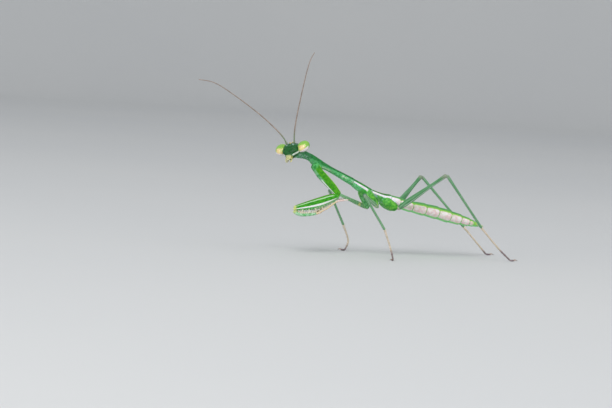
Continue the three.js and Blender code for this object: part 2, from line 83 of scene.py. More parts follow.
# Half sizes from front to rear, evenly spaced, and for the abdomen one at each ring's edge.
PRONOTUM = {
    "side": [0.55, 0.78, 0.98, 1.16, 1.0, 0.86, 0.8, 0.8, 0.84, 0.94, 0.98, 0.9],
    "up": [0.94, 0.86, 0.78, 0.7, 0.6, 0.54, 0.52, 0.54, 0.58, 0.6, 0.6, 0.58],
    "down": [0.52, 0.95, 1.24, 1.22, 0.82, 0.72, 0.72, 0.74, 0.8, 0.86, 0.92, 0.95],
}
MESOTHORAX = {
    "side": [0.86, 1.02, 1.16, 1.24, 1.2],
    "up": [0.58, 0.55, 0.56, 0.52, 0.43],
    "down": [0.95, 1.2, 1.36, 1.4, 1.36],
}
METATHORAX = {
    "side": [1.2, 1.3, 1.34, 1.3, 1.22],
    "up": [0.43, 0.52, 0.68, 0.95, 1.18],
    "down": [1.36, 1.42, 1.38, 1.22, 1.06],
}
ABDOMEN = {
    "side": [1.24, 1.52, 1.84, 2.04, 2.08, 1.96, 1.64, 1.22, 0.86, 0.6, 0.36],
    "up": [1.18, 1.2, 1.2, 1.3, 1.32, 1.28, 1.08, 0.82, 0.6, 0.46, 0.32],
    "down": [1.06, 1.06, 1.17, 1.3, 1.36, 1.38, 1.16, 0.88, 0.66, 0.48, 0.32],
}
# How far each feature of the plates stands out or lies in, and where some of them are.
PLATE = {"rim": 0.05, "keel": 0.045, "groove": 0.07, "collar": 0.03, "rear_edge": 0.06, "joint": 0.05,
         "fold": 0.05, "pleat": 0.05}
RING_FLARE = 0.07
TOOTH_PITCH = 0.42
GROOVE_AT = 3.35
FLANK_FOLDS = ((12.6, 1.5), (14.2, 1.3), (17.2, 1.5), (18.9, 1.2))
FRONT_ROUNDING, TAIL_ROUNDING = 0.3, 0.25
TRUNK_AROUND, TRUNK_STEP = 64, 0.1


def smooth(value, low, high):
    """0 below low and 1 above high, or the other way round where low is the larger."""
    t = np.clip((value - low) / (high - low), 0, 1)
    return t * t * (3 - 2 * t)


def bump(value, middle, half):
    return np.exp(-(((value - middle) / half) ** 2))


def spread(stations, t):
    """A smooth reading between evenly spaced stations, for t from 0 to 1."""
    stations = np.asarray(stations, float)
    last = len(stations) - 1
    place = np.clip(t, 0, 1) * last
    low = np.minimum(np.floor(place).astype(int), last - 1)
    part = place - low
    padded = np.concatenate(([2 * stations[0] - stations[1]], stations, [2 * stations[-1] - stations[-2]]))
    a, b, c, d = (padded[low + step] for step in range(4))
    return b + 0.5 * part * (c - a + part * (2 * a - 5 * b + 4 * c - d + part * (3 * (b - c) + d - a)))


class Course:
    """A smooth line through points, in millimetres, which tells its place and directions at any distance."""

    def __init__(self, points, ref=(0, 0, 1)):
        points = np.asarray(points, float)
        self.ref = np.asarray(ref, float)
        if len(points) > 2:
            points = self.rounded(points)
        steps = np.linalg.norm(np.diff(points, axis=0), axis=1)
        self.points = points
        self.distances = np.concatenate(([0], np.cumsum(steps)))
        self.length = self.distances[-1]

    def rounded(self, points):
        padded = np.vstack((2 * points[0] - points[1], points, 2 * points[-1] - points[-2]))
        gaps = np.sqrt(np.linalg.norm(np.diff(padded, axis=0), axis=1))
        t = np.linspace(0, 1, 60, endpoint=False)[:, None]
        pieces = []
        for i in range(len(points) - 1):
            before, start, end, after = padded[i:i + 4]
            gap_before, gap, gap_after = gaps[i:i + 3]
            leave = gap * ((start - before) / gap_before - (end - before) / (gap_before + gap)
                           + (end - start) / gap)
            arrive = gap * ((end - start) / gap - (after - start) / (gap + gap_after)
                            + (after - end) / gap_after)
            pieces.append(start + t * leave + (3 * (end - start) - 2 * leave - arrive) * t ** 2
                          + (2 * (start - end) + leave + arrive) * t ** 3)
        return np.vstack(pieces + [points[-1:]])

    def place(self, distance):
        return np.stack([np.interp(distance, self.distances, axis) for axis in self.points.T], axis=1)

    def at(self, distance):
        """Place, tangent, side and upward there. Past either end the line goes on straight."""
        distance = np.atleast_1d(np.asarray(distance, float))
        inside = np.clip(distance, 0, self.length)
        place = self.place(inside)
        reach = min(0.15, self.length / 6)
        ahead = np.clip(inside + reach, reach, self.length)
        behind = np.clip(inside - reach, 0, self.length - reach)
        tangent = self.place(ahead) - self.place(behind)
        tangent /= np.linalg.norm(tangent, axis=1)[:, None]
        side = np.cross(self.ref, tangent)
        side /= np.linalg.norm(side, axis=1)[:, None]
        upward = np.cross(tangent, side)
        return place + tangent * (distance - inside)[:, None], tangent, side, upward


def loft(course, distances, halves, around, relief=None, mirrored=False):
    """A closed form along a course. halves holds side, up and down at each distance, and relief raises
    its surface. Every corner keeps where it lies, as (turn round the form, millimetres along it)."""
    place, tangent, side, upward = course.at(distances)
    if mirrored:
        side = -side
    turn = np.arange(around) / around * 2 * math.pi
    raised = relief(np.asarray(distances)[:, None], turn[None, :]) if relief else 0
    outward = np.cos(turn)[None, :] * (halves["side"][:, None] + raised)
    deep = np.where(np.sin(turn) > 0, halves["up"][:, None], halves["down"][:, None])
    lift = np.sin(turn)[None, :] * (deep + raised)
    rings = place[:, None] + side[:, None] * outward[..., None] + upward[:, None] * lift[..., None]
    count = len(distances)
    points = np.concatenate((rings.reshape(-1, 3), place[:1], place[-1:]))
    ring, step = np.meshgrid(np.arange(count - 1), np.arange(around), indexing="ij")
    onward = (step + 1) % around
    corners = np.stack((ring * around + step, ring * around + onward,
                        (ring + 1) * around + onward, (ring + 1) * around + step), axis=-1).reshape(-1, 4)
    along = np.asarray(distances, float)
    lay = np.stack((np.stack((step, step + 1, step + 1, step), axis=-1) / around,
                    np.stack((along[ring], along[ring], along[ring + 1], along[ring + 1]), axis=-1)),
                   axis=-1).reshape(-1, 4, 2)
    turns = np.arange(around)
    next_turns = (turns + 1) % around
    start_cap = np.stack((next_turns, turns, np.full(around, count * around)), axis=-1)
    rim = (count - 1) * around
    end_cap = np.stack((rim + turns, rim + next_turns, np.full(around, count * around + 1)), axis=-1)
    cap_lay = np.stack((turns + 1, turns, turns + 0.5), axis=-1) / around
    start_lay = np.stack((cap_lay, np.full((around, 3), along[0])), axis=-1)
    end_lay = np.stack((cap_lay[:, [1, 0, 2]], np.full((around, 3), along[-1])), axis=-1)
    faces = [*corners.tolist(), *start_cap.tolist(), *end_cap.tolist()]
    lays = np.concatenate((lay.reshape(-1, 2), start_lay.reshape(-1, 2), end_lay.reshape(-1, 2)))
    first, second, third = (points[corners[:, corner]] - place.mean(0) for corner in range(3))
    # The sum is the form's volume, which comes out negative when its faces look inward.
    if np.einsum("ij,ij->", np.cross(first, second), third) < 0:
        faces = [face[::-1] for face in faces]
        lays = np.concatenate((lay[:, ::-1].reshape(-1, 2), start_lay[:, ::-1].reshape(-1, 2),
                               end_lay[:, ::-1].reshape(-1, 2)))
    girth = math.pi * float(np.mean(halves["side"] + (halves["up"] + halves["down"]) / 2))
    return {"points": points, "faces": faces, "lay": lays, "girth": girth, "along": (along[0], along[-1])}


class Wire:
    """A socket in a finish's nodes. Sums on wires add Math nodes, and node() adds any other kind."""

    def __init__(self, tree, socket=None):
        self.tree, self.socket = tree, socket

    def node(self, kind, settings=None, values=None, out=0):
        """A node with its settings, and its sockets fed with values or wires. Tells its output."""
        made = self.tree.nodes.new(kind)
        for name, setting in (settings or {}).items():
            setattr(made, name, setting)
        for name, value in (values or {}).items():
            if isinstance(value, Wire):
                self.tree.links.new(value.socket, made.inputs[name])
            else:
                made.inputs[name].default_value = value
        return Wire(self.tree, made.outputs[out])

    def math(self, operation, *values):
        return self.node("ShaderNodeMath", {"operation": operation}, dict(enumerate(values)))

    def __add__(self, other):
        return self.math("ADD", self, other)

    def __sub__(self, other):
        return self.math("SUBTRACT", self, other)

    def __rsub__(self, other):
        return self.math("SUBTRACT", other, self)

    def __mul__(self, other):
        return self.math("MULTIPLY", self, other)

    def __abs__(self):
        return self.math("ABSOLUTE", self)

    __radd__ = __add__
    __rmul__ = __mul__

    def rise(self, low, high, start=0, end=1):
        """Eases from start at low to end at high."""
        return self.node("ShaderNodeMapRange", {"interpolation_type": "SMOOTHSTEP"},
                         {0: self, 1: low, 2: high, 3: start, 4: end})

    def between(self, low, high, start, end):
        """Runs straight from start at low to end at high."""
        return self.node("ShaderNodeMapRange", None, {0: self, 1: low, 2: high, 3: start, 4: end})

    def within(self, opens, closes):
        """1 from one place to another, eased in over the first pair and out over the second."""
        return self.rise(*opens) * self.rise(*closes)

    def near(self, middle, gone, full):
        """1 within full of the middle, and 0 where it is further off than gone."""
        return abs(self - middle).rise(gone, full)

    def mix(self, first, second):
        """The first colour where this wire is 0 and the second where it is 1."""
        return self.node("ShaderNodeMix", {"data_type": "RGBA"}, {0: self, 6: first, 7: second}, out=2)

    def blend(self, low, high, colours):
        """Eases from the first of two colours at low to the second at high."""
        return self.rise(low, high).mix(*colours)


def tint(red, green, blue):
    """A colour given in display values of 0 to 255, as the shader's own light values."""
    return tuple(v / 12.92 if v <= 0.04045 else ((v + 0.055) / 1.055) ** 2.4
                 for v in (red / 255, green / 255, blue / 255)) + (1,)


class Finish:
    """A material, with wires that tell where a point is: its place, how near the top or the outer side
    of its form it lies, from -1 to 1, and how many millimetres along."""

    def __init__(self, name, **constants):
        self.material = bpy.data.materials.new(name)
        self.material.use_nodes = True
        tree = self.material.node_tree
        self.shader = tree.nodes["Principled BSDF"]
        for socket, value in constants.items():
            self.shader.inputs[socket.replace("_", " ")].default_value = value
        self.place = Wire(tree).node("ShaderNodeTexCoord", out=3)
        lay = Wire(tree).node("ShaderNodeUVMap", {"uv_map": "Lay"})
        around = lay.node("ShaderNodeSeparateXYZ", None, {0: lay})
        self.along = Wire(tree, around.socket.node.outputs[1])
        turn = around * (2 * math.pi)
        self.top, self.outer = turn.math("SINE", turn), turn.math("COSINE", turn)

    def noise(self, size, detail=2.0, stretch=None):
        """Noise with blotches of about that many millimetres, from 0 to 1."""
        place = self.place
        if stretch:
            place = place.node("ShaderNodeMapping", None, {0: place, 3: stretch})
        return place.node("ShaderNodeTexNoise", None,
                          {"Vector": place, "Scale": 1 / (size * MM), "Detail": detail})

    def streaks(self, across, along):
        """Noise drawn out along the form. Across is a share of its girth and along is in millimetres."""
        spot = self.top.node("ShaderNodeCombineXYZ", None, {
            0: self.outer * (1 / across), 1: self.top * (1 / across), 2: self.along * (1 / along)})
        return spot.node("ShaderNodeTexNoise", None, {"Vector": spot, "Scale": 1.0, "Detail": 2.0})

    def coat(self, colour, roughness, height, depth):
        """Links colour and roughness, and a bump of that depth in millimetres."""
        bumped = height.node("ShaderNodeBump", None,
                             {"Strength": 1.0, "Distance": depth * MM, "Height": height})
        for name, wire in (("Base Color", colour), ("Roughness", roughness), ("Normal", bumped)):
            colour.tree.links.new(wire.socket, self.shader.inputs[name])


def either(first, second):
    return first.math("MAXIMUM", first, second)


def trunk_halves(distance):
    """Half sizes of the trunk at a distance behind its collar."""
    halves = {}
    plates = [(0, PRONOTUM_END, PRONOTUM), (PRONOTUM_END, MESOTHORAX_END, MESOTHORAX),
              (MESOTHORAX_END, METATHORAX_END, METATHORAX)]
    for part in ("side", "up", "down"):
        reading = np.interp(distance, RING_EDGES, ABDOMEN[part])
        for start, end, table in plates:
            here = (distance >= start) & (distance < end)
            reading = np.where(here, spread(table[part], (distance - start) / (end - start)), reading)
        halves[part] = reading
    return halves


def trunk_relief(behind, turn):
    """What stands out of the trunk: plate edges, the pronotum's keel, groove and toothed rims, and folds."""
    height = np.sin(turn)
    back = smooth(height, 0.1, 0.5)
    pronotum = smooth(behind, 11.2, 10.9)
    teeth = 0.65 + 0.35 * np.cos(behind * 2 * math.pi / TOOTH_PITCH)
    out = PLATE["rim"] * bump(height, 0.02, 0.09) * pronotum * smooth(behind, 0.2, 1.0) * teeth
    out = out + (PLATE["keel"] * bump(np.cos(turn), 0, 0.12) * (height > 0) * smooth(behind, 3.6, 4.6)
                 * smooth(behind, 19.0, 18.0))
    out = out - PLATE["groove"] * bump(behind, GROOVE_AT, 0.16) * back * pronotum
    out = out + PLATE["collar"] * bump(behind, 0.15, 0.2) * pronotum
    for edge in (PRONOTUM_END, MESOTHORAX_END, METATHORAX_END):
        out = out + (PLATE["rear_edge"] * smooth(behind, edge - 0.9, edge - 0.05) * (behind < edge)
                     * smooth(height, -0.3, 0.1))
        out = out - PLATE["joint"] * bump(behind, edge + 0.05, 0.12) * (behind >= edge)
    for start, lean in FLANK_FOLDS:
        fold = (behind - start - lean * height) / 0.13
        out = out - (PLATE["fold"] * np.exp(-(fold ** 2)) * smooth(height, -0.15, -0.3)
                     * smooth(height, -0.98, -0.85))
    for index, length in enumerate(ABDOMEN_LENGTHS):
        t = (behind - RING_EDGES[index]) / length
        inside = (t >= 0) & (t < 1)
        out = out + inside * RING_FLARE * np.interp(t, [0, 0.08, 0.4, 0.85, 1], [-1.3, -0.9, 0.1, 0.9, 1.05])
    return out - (PLATE["pleat"] * bump(height, -0.74, 0.07) * smooth(behind, 22, 23)
                  * smooth(behind, 41, 39))


TRUNK_END = RING_EDGES[-1]
# Extra corners lie close to the two ends and to the edge of every plate, so that these stay crisp.
trunk_distances = np.unique(np.concatenate((
    np.array([0, 0.03, 0.08]), np.arange(0.15, TRUNK_END - 0.1, TRUNK_STEP),
    *[edge + np.array([-0.03, -0.005, 0.02, 0.06]) for edge in
      (PRONOTUM_END, MESOTHORAX_END, *RING_EDGES[:-1])],
    TRUNK_END - np.array([0.08, 0.05, 0.02, 0.0]))))
end_share = np.sqrt(1 - (1 - np.clip(trunk_distances / FRONT_ROUNDING, 0.03, 1)) ** 2)
end_share *= np.sqrt(1 - (1 - np.clip((TRUNK_END - trunk_distances) / TAIL_ROUNDING, 0.03, 1)) ** 2)
trunk_sizes = {part: size * end_share for part, size in trunk_halves(trunk_distances).items()}
trunk_course = Course(TRUNK_LINE)
trunk = loft(trunk_course, trunk_distances, trunk_sizes, TRUNK_AROUND,
             lambda behind, turn: trunk_relief(behind, turn) * np.interp(behind, trunk_distances, end_share))

# Pairs are the two colours of a mottle.
TRUNK_COLOURS = {
    "back": (tint(12, 98, 36), tint(28, 130, 48)), "back fleck": tint(40, 146, 100),
    "flank": (tint(72, 170, 92), tint(118, 208, 140)),
    "throat": (tint(52, 152, 74), tint(104, 192, 124)), "throat glint": tint(160, 176, 178),
    "keel": tint(84, 136, 34), "pale spot and painted highlight": tint(206, 224, 200),
    "rear flank": (tint(70, 162, 60), tint(128, 200, 104)),
    "rear back": (tint(20, 116, 28), tint(52, 140, 32)),
    "lime wedge": tint(60, 164, 34), "painted violet glint": tint(164, 176, 200), "ochre rim": tint(170, 150, 66),
    "ring back": (tint(48, 146, 66), tint(96, 176, 80)), "lime": (tint(128, 198, 64), tint(166, 216, 96)),
    "belly": (tint(92, 216, 116), tint(146, 232, 142)), "below the band": tint(172, 236, 150),
    "white": (tint(250, 248, 252), tint(234, 222, 234)),
    "pinkish": (tint(248, 242, 240), tint(238, 204, 204)), "green on pink": tint(200, 228, 180),
    "joint": tint(60, 158, 84), "tail tip": (tint(206, 214, 208), tint(176, 178, 196)),
}
CUTICLE_GLOSS = {"IOR": 1.48, "Specular_IOR_Level": 0.32}
CUTICLE_ROUGHNESS = (0.34, 0.5)
GRAIN_DEPTH = 0.03

body = Finish("green trunk cuticle", Subsurface_Weight=0.08, Subsurface_Scale=0.5 * MM, **CUTICLE_GLOSS)
behind, top = body.along, body.top
blotch, fleck, grain = body.noise(0.55, 3), body.noise(0.16, 2), body.noise(0.07, 3)
strokes, patches = body.noise(0.45, 2, (2.4, 1.0, 0.6)), body.noise(0.42, 2)
# The thorax has a dark green back over mint flanks, with slanting strokes between the two.
ragged_top = top + (strokes - 0.5) * 0.45 + (blotch - 0.5) * 0.4
back = (fleck.rise(0.54, 0.66) * 0.5).mix(blotch.blend(0.35, 0.65, TRUNK_COLOURS["back"]),
                                          TRUNK_COLOURS["back fleck"])
flank = (strokes * 0.5 + blotch * 0.5).blend(0.36, 0.64, TRUNK_COLOURS["flank"])
thorax = ragged_top.rise(behind.between(2, 8, -0.5, 0.1), behind.between(2, 8, -0.1, 0.5)).mix(flank, back)
throat = (fleck.rise(0.56, 0.68) * behind.rise(1.6, 0.8)).mix(blotch.blend(0.3, 0.7, TRUNK_COLOURS["throat"]),
                                                              TRUNK_COLOURS["throat glint"])
thorax = (behind.rise(3.4, 1.8) * top.rise(0.25, -0.2) * 0.85).mix(thorax, throat)
# A paler yellow-green line along the pronotum's keel: a painted rim highlight.
thorax = (top.rise(0.8, 0.98) * behind.rise(2.0, 4.0) * 0.5).mix(thorax, TRUNK_COLOURS["keel"])
rear_flank = behind.within((15.2, 16.0), (19.2, 18.2)) * top.rise(0.1, -0.15)
thorax = (rear_flank * 0.75).mix(thorax, blotch.blend(0.35, 0.65, TRUNK_COLOURS["rear flank"]))
lime_wedge = (behind - top * 0.6).near(14.6, 0.9, 0.5) * top.rise(0.15, -0.1)
thorax = (lime_wedge * 0.8).mix(thorax, TRUNK_COLOURS["lime wedge"])
# A speckled pale violet glint on the hind thorax's flank: a painted highlight.
violet_glint = (behind + top * 1.2).near(16.4, 0.8, 0.15) * top.near(-0.25, 0.4, 0.12) * fleck.rise(0.35, 0.55)
thorax = (violet_glint * 0.85).mix(thorax, TRUNK_COLOURS["painted violet glint"])
rear_back = behind.rise(11.0, 12.0) * top.rise(0.15, 0.3)
thorax = rear_back.mix(thorax, blotch.blend(0.4, 0.6, TRUNK_COLOURS["rear back"]))
# The abdomen is teal above, with a lime line beside the pale band and bright mint beneath.
lime = fleck.blend(0.35, 0.65, TRUNK_COLOURS["lime"])
ring_back = blotch.blend(0.35, 0.65, TRUNK_COLOURS["ring back"])
abdomen = (top + (blotch - 0.5) * 0.3).rise(0.56, 0.82).mix(lime, ring_back)
abdomen = top.rise(-0.5, -0.3).mix(fleck.blend(0.3, 0.7, TRUNK_COLOURS["belly"]), abdomen)
ground = behind.rise(19.4, 21.5).mix(thorax, abdomen)
rim = behind.within((15.4, 17.8), (24.0, 21.4)) * top.rise(0.955, 0.995)
ground = (rim * blotch.rise(0.2, 0.5) * 0.7).mix(ground, TRUNK_COLOURS["ochre rim"])
# The white side stripe: two strokes on the thorax, then a wedge that widens into the abdomen's band.
height = top + (fleck - 0.5) * 0.14
stroke_one = height.near(behind.between(10.6, 14.9, 0.02, -0.16), 0.24, 0.14)
stroke_one = stroke_one * behind.within((10.5, 11.6), (15.1, 14.5))
stroke_two = height.near(behind.between(15.4, 18.4, 0.04, 0.26), 0.33, 0.23)
stroke_two = stroke_two * behind.within((15.4, 15.9), (20.4, 19.4))
seam = behind.near(float(RING_EDGES[1]), 0.5, 0.0)
for ring_edge in RING_EDGES[2:-1]:
    seam = either(seam, behind.near(float(ring_edge), 0.5, 0.0))
upper = behind.between(17.9, 20.5, 0.42, 0.74) - behind.between(22.0, 27.0, 0, 0.24) - seam * 0.15
lower = behind.between(18.7, 20.9, 0.12, -0.62) - behind.between(22.6, 25.0, 0, 0.14) + seam * 0.15
band = (upper - height).rise(-0.04, 0.06) * (height - lower).rise(-0.04, 0.06)
band = band * behind.within((17.9, 18.4), (41.4, 40.2)) * (seam + (patches - 0.5) * 0.25).rise(0.95, 0.8)
pinkish = (blotch.rise(0.52, 0.68) * 0.45).mix(body.noise(0.7, 2).blend(0.3, 0.7, TRUNK_COLOURS["pinkish"]),
                                               TRUNK_COLOURS["green on pink"])
white = behind.rise(21.0, 23.5).mix(blotch.blend(0.3, 0.7, TRUNK_COLOURS["white"]), pinkish)
below_band = (height - lower).near(-0.06, 0.16, 0.04) * behind.within((21.5, 23.0), (41.4, 40.2))
below_band = below_band * patches.rise(0.35, 0.55)
ground = (below_band * 0.7).mix(ground, TRUNK_COLOURS["below the band"])
colour = either(either(stroke_one, stroke_two), band).mix(ground, white)
pale_spots = patches.rise(0.5, 0.62) * top.near(-0.2, 0.46, 0.2) * behind.within((7.4, 8.8), (12.0, 10.8))
# A thin painted highlight low on the pronotum's flank, drawn in the pale spots' colour.
edge_gleam = top.near(-0.56, 0.22, 0.08) * behind.within((3.0, 3.5), (6.4, 4.6))
colour = (either(pale_spots, edge_gleam) * 0.8).mix(colour, TRUNK_COLOURS["pale spot and painted highlight"])
# Dark joints between the rings, and a pale tail tip.
joint = behind.near(PRONOTUM_END, 0.16, 0.05)
for ring_edge in (MESOTHORAX_END, *RING_EDGES[:-1]):
    joint = either(joint, behind.near(float(ring_edge), 0.16, 0.05))
colour = (joint * (0.1 + blotch * 0.5)).mix(colour, TRUNK_COLOURS["joint"])
colour = behind.rise(42.2, 43.0).mix(colour, blotch.blend(0.4, 0.6, TRUNK_COLOURS["tail tip"]))
body.coat(colour, blotch.rise(0, 1, *CUTICLE_ROUGHNESS), grain + blotch * 0.8, GRAIN_DEPTH)
flesh = [("trunk", trunk, body.material)]

# ---------- The head and its neck ----------
# A shield-shaped capsule of hard cuticle, turned to the left and looking upward.
# Below the feelers lies the frontal shield, below that the lip's base. A soft folded neck holds it.
HEAD_CENTRE = np.array([-4.15, -0.7, 22.0])
HEAD_TURN, HEAD_LEAN, HEAD_LOOK_UP = 42, 12, 44
# Half sizes from the crown down to the lip's base: to each side, forward and back.
HEAD = {
    "height": [1.25, 1.15, 0.95, 0.55, 0, -0.7, -1.4, -2.0, -2.45, -2.6],
    "side": [0.25, 1.0, 1.55, 1.8, 1.85, 1.85, 1.68, 1.08, 0.66, 0.42],
    "up": [0.1, 0.35, 0.62, 0.9, 1.0, 1.04, 0.98, 0.84, 0.64, 0.42],
    "down": [0.12, 0.45, 0.75, 1.0, 1.12, 1.15, 1.1, 0.95, 0.75, 0.45],
}
HEAD_AROUND, HEAD_STEP = 96, 0.05
ANTENNA_ROOT = {"out": 0.82, "front": 0.92, "up": 0.45}
SOCKET = {"rim": 0.16, "rim_at": 0.36, "pit": 0.08}
# How far each feature of the face stands out or lies in.
FACE = {"shield": 0.07, "lip_groove": 0.07, "mouth_groove": 0.08, "cheek": 0.06, "corner": 0.16,
        "crown": 0.05, "brow": 0.07}
FACE_HALF_WIDTH = 2.2
NECK_ROOT = (0, -0.5, -0.55)
# Half sizes of the neck behind the head and at the collar, and its folds.
NECK = {"side": [0.8, 0.62], "up": [0.66, 0.84], "down": [1.05, 0.8]}
NECK_FOLDS = {"rings": 30, "count": 6, "height": 0.03, "end": 0.3}
ahead = Vector((-math.cos(math.radians(HEAD_TURN)), -math.sin(math.radians(HEAD_TURN)), 0))
head_out = Vector((0, 0, 1)).cross(ahead)
head_front = ahead.copy()
head_front.rotate(Quaternion(head_out, -math.radians(HEAD_LOOK_UP)))
head_up = head_front.cross(head_out)
for direction in (head_out, head_front, head_up):
    direction.rotate(Quaternion(ahead, math.radians(HEAD_LEAN)))
HEAD_AXES = np.array([head_out, head_front, head_up])


def in_head(out, front, upward):
    """A place given from the middle of the head: toward its left eye, along its gaze, toward its crown."""
    return HEAD_CENTRE + np.array([out, front, upward]) @ HEAD_AXES


def head_relief(down, turn):
    """down runs from the crown, and a turn of a quarter is the middle of the face."""
    upward = HEAD["height"][0] - down
    out = np.cos(turn) * FACE_HALF_WIDTH
    front = smooth(np.sin(turn), 0.1, 0.5)
    sockets = 0
    for side in (-1, 1):
        away = np.hypot(out - side * ANTENNA_ROOT["out"], upward - ANTENNA_ROOT["up"])
        sockets = sockets + SOCKET["rim"] * bump(away, SOCKET["rim_at"], 0.12)
        sockets = sockets - SOCKET["pit"] * bump(away, 0, 0.2)
    shield = FACE["shield"] * smooth(abs(out), 1.15, 0.95) * smooth(upward, -0.95, -0.8)
    shield = shield * smooth(upward, 0.15, 0.0)
    grooves = FACE["lip_groove"] * bump(upward, -1.05, 0.09)
    grooves = grooves + FACE["mouth_groove"] * bump(upward, -1.95, 0.08)
    cheeks = FACE["cheek"] * bump(abs(out), 1.35, 0.1) * smooth(upward, 0.3, 0)
    corners = FACE["corner"] * np.abs(np.sin(2 * turn)) ** 1.5
    corners = corners * smooth(np.sin(turn), 0.0, 0.3) * smooth(down, 0.3, 0.9)
    crown = bump(abs(out), 0.55, 0.08) + bump(abs(out), 1.25, 0.08)
    crown = FACE["crown"] * crown * smooth(upward, 0.6, 0.9)
    brow = FACE["brow"] * bump(np.hypot(out, upward - 0.7), 0, 0.42)
    return front * (sockets + shield - grooves - cheeks + brow) + corners - crown


head_course = Course([in_head(0, 0, HEAD["height"][0]), in_head(0, 0, HEAD["height"][-1])], ref=head_front)
head_distances = np.unique(np.concatenate(([0, 0.01, 0.03], np.arange(0.06, head_course.length, HEAD_STEP),
                                           [head_course.length])))
head_place = np.interp(head_distances, HEAD["height"][0] - np.array(HEAD["height"]),
                       np.linspace(0, 1, len(HEAD["height"])))
head_sizes = {part: np.maximum(spread(HEAD[part], head_place), 0.02) for part in ("side", "up", "down")}
head = loft(head_course, head_distances, head_sizes, HEAD_AROUND, head_relief)

FACE_COLOURS = {
    "shield": (tint(6, 70, 22), tint(24, 100, 38)), "glint": tint(140, 178, 168),
    "socket": tint(166, 196, 186), "lip's base": tint(200, 204, 150),
    "cheek line": (tint(240, 240, 236), tint(204, 226, 200)),
}
face = Finish("face cuticle", **CUTICLE_GLOSS)
down, fore = face.along, face.top
blotch, fleck, grain = face.noise(0.45, 3), face.noise(0.13, 2), face.noise(0.06, 3)
colour = (fleck.rise(0.54, 0.66) * down.rise(2.0, 0.9) * 0.7).mix(
    blotch.blend(0.35, 0.65, FACE_COLOURS["shield"]), FACE_COLOURS["glint"])
# Pale rings round the feeler sockets: the sockets' own pale cuticle with a painted highlight on it.
sockets = abs(face.outer).near(0.36, 0.14, 0.04) * down.near(0.95, 0.5, 0.2) * fore.rise(0.4, 0.7)
colour = (sockets * 0.8).mix(colour, FACE_COLOURS["socket"])
colour = (down.rise(3.6, 3.8) * fore.rise(0.0, 0.3)).mix(colour, FACE_COLOURS["lip's base"])
cheek = fore.near(down.between(1.9, 3.5, -0.16, 0.34), 0.26, 0.14) * down.within((1.9, 2.2), (3.7, 3.4))
colour = cheek.mix(colour, blotch.blend(0.4, 0.6, FACE_COLOURS["cheek line"]))
face.coat(colour, blotch.rise(0, 1, 0.32, 0.48), grain + blotch, GRAIN_DEPTH)
flesh.append(("head", head, face.material))

NECK_COLOURS = {"fold": (tint(26, 112, 52), tint(52, 144, 84)), "mint": tint(116, 186, 134),
                "grey": tint(160, 180, 182)}
neck_skin = Finish("neck membrane", IOR=1.45)
blotch, top = neck_skin.noise(0.4, 3), neck_skin.top
# Pale mint patches on the underside: the neck's own mint-green, brightened as painted highlights.
pale = neck_skin.noise(0.36, 2).rise(0.44, 0.6) * top.rise(0.3, -0.3)
colour = (pale * 0.8).mix(blotch.blend(0.35, 0.65, NECK_COLOURS["fold"]), NECK_COLOURS["mint"])
# Grey patches on the underside are painted glints.
grey = neck_skin.noise(0.5, 2).rise(0.5, 0.66) * top.rise(0.15, -0.3)
colour = (grey * 0.7).mix(colour, NECK_COLOURS["grey"])
neck_skin.coat(colour, blotch.rise(0, 1, 0.4, 0.56), neck_skin.noise(0.06, 3) + blotch, GRAIN_DEPTH)
neck_course = Course([in_head(*NECK_ROOT), trunk_course.at(-0.6)[0][0] + [0, 0, 0.1],
                      trunk_course.at(0.5)[0][0]])
neck_distances = np.linspace(0, neck_course.length, NECK_FOLDS["rings"])
folds = NECK_FOLDS["height"] * np.cos(np.linspace(0, NECK_FOLDS["count"] * 2 * math.pi, NECK_FOLDS["rings"]))
neck_sizes = {part: np.interp(neck_distances, [0, neck_course.length], ends) + folds
              for part, ends in NECK.items()}
for size in neck_sizes.values():
    size[[0, -1]] = NECK_FOLDS["end"]
flesh.append(("neck", loft(neck_course, neck_distances, neck_sizes, 40), neck_skin.material))

# ---------- The grasping legs ----------
# Deep, flat forelegs of thick cuticle on narrow joints, folded: the shank lies back under the thigh,
# and the foot reaches to the rear. The spines that line both are separate pieces further on.
GRASPING_STANCE = {
    "fore_left": {"hip": [1.0, -0.72, 19.15], "turn": [6.5, -2.1, 12.65], "knee": [-3.25, -1.4, 9.8]},
    "fore_right": {"hip": [1.3, 0.78, 18.95], "turn": [8.3, 2.1, 12.4], "knee": [-1.65, 1.4, 9.6]},
}
# Half sizes of each part from its root to its end, evenly spaced.
FORE_COXA = {
    "side": [0.44, 0.54, 0.54, 0.48, 0.42],
    "up": [0.6, 0.58, 0.7, 0.8, 0.62],
    "down": [0.8, 1.1, 0.98, 0.76, 0.52],
}
FORE_FEMUR = {
    "side": [0.36, 0.46, 0.5, 0.5, 0.47, 0.42, 0.37, 0.32],
    "up": [0.45, 0.76, 0.8, 0.74, 0.66, 0.56, 0.46, 0.36],
    "down": [0.45, 0.95, 1.35, 1.58, 1.52, 1.28, 0.95, 0.55],
}
FORE_TIBIA = {"side": [0.3, 0.3, 0.3, 0.27], "up": [0.34, 0.33, 0.32, 0.26], "down": [0.36, 0.33, 0.32, 0.26]}
FORE_FOOT = [0.2, 0.16, 0.15, 0.16, 0.18, 0.14]
FORE_FOOT_JOINTS = (0.46, 0.6, 0.7, 0.78)
# Places on the folded part: back along the thigh from the knee, down below it and outward.
SHANK_COURSE = [[0.2, 0.1, 0], [0.02, 0.85, 0], [1.0, 1.72, 0], [2.8, 2.2, 0], [4.6, 2.42, 0]]
HOOK_COURSE = [[4.4, 2.4, 0], [5.4, 2.42, 0], [6.15, 1.98, 0]]
FORE_FOOT_COURSE = [[4.3, 2.35, 0.6], [6.6, 1.75, 1.04], [9.1, 0.9, 1.02], [11.5, 1.15, 0.96]]
SPINE_ROOT_PITCH = 0.58


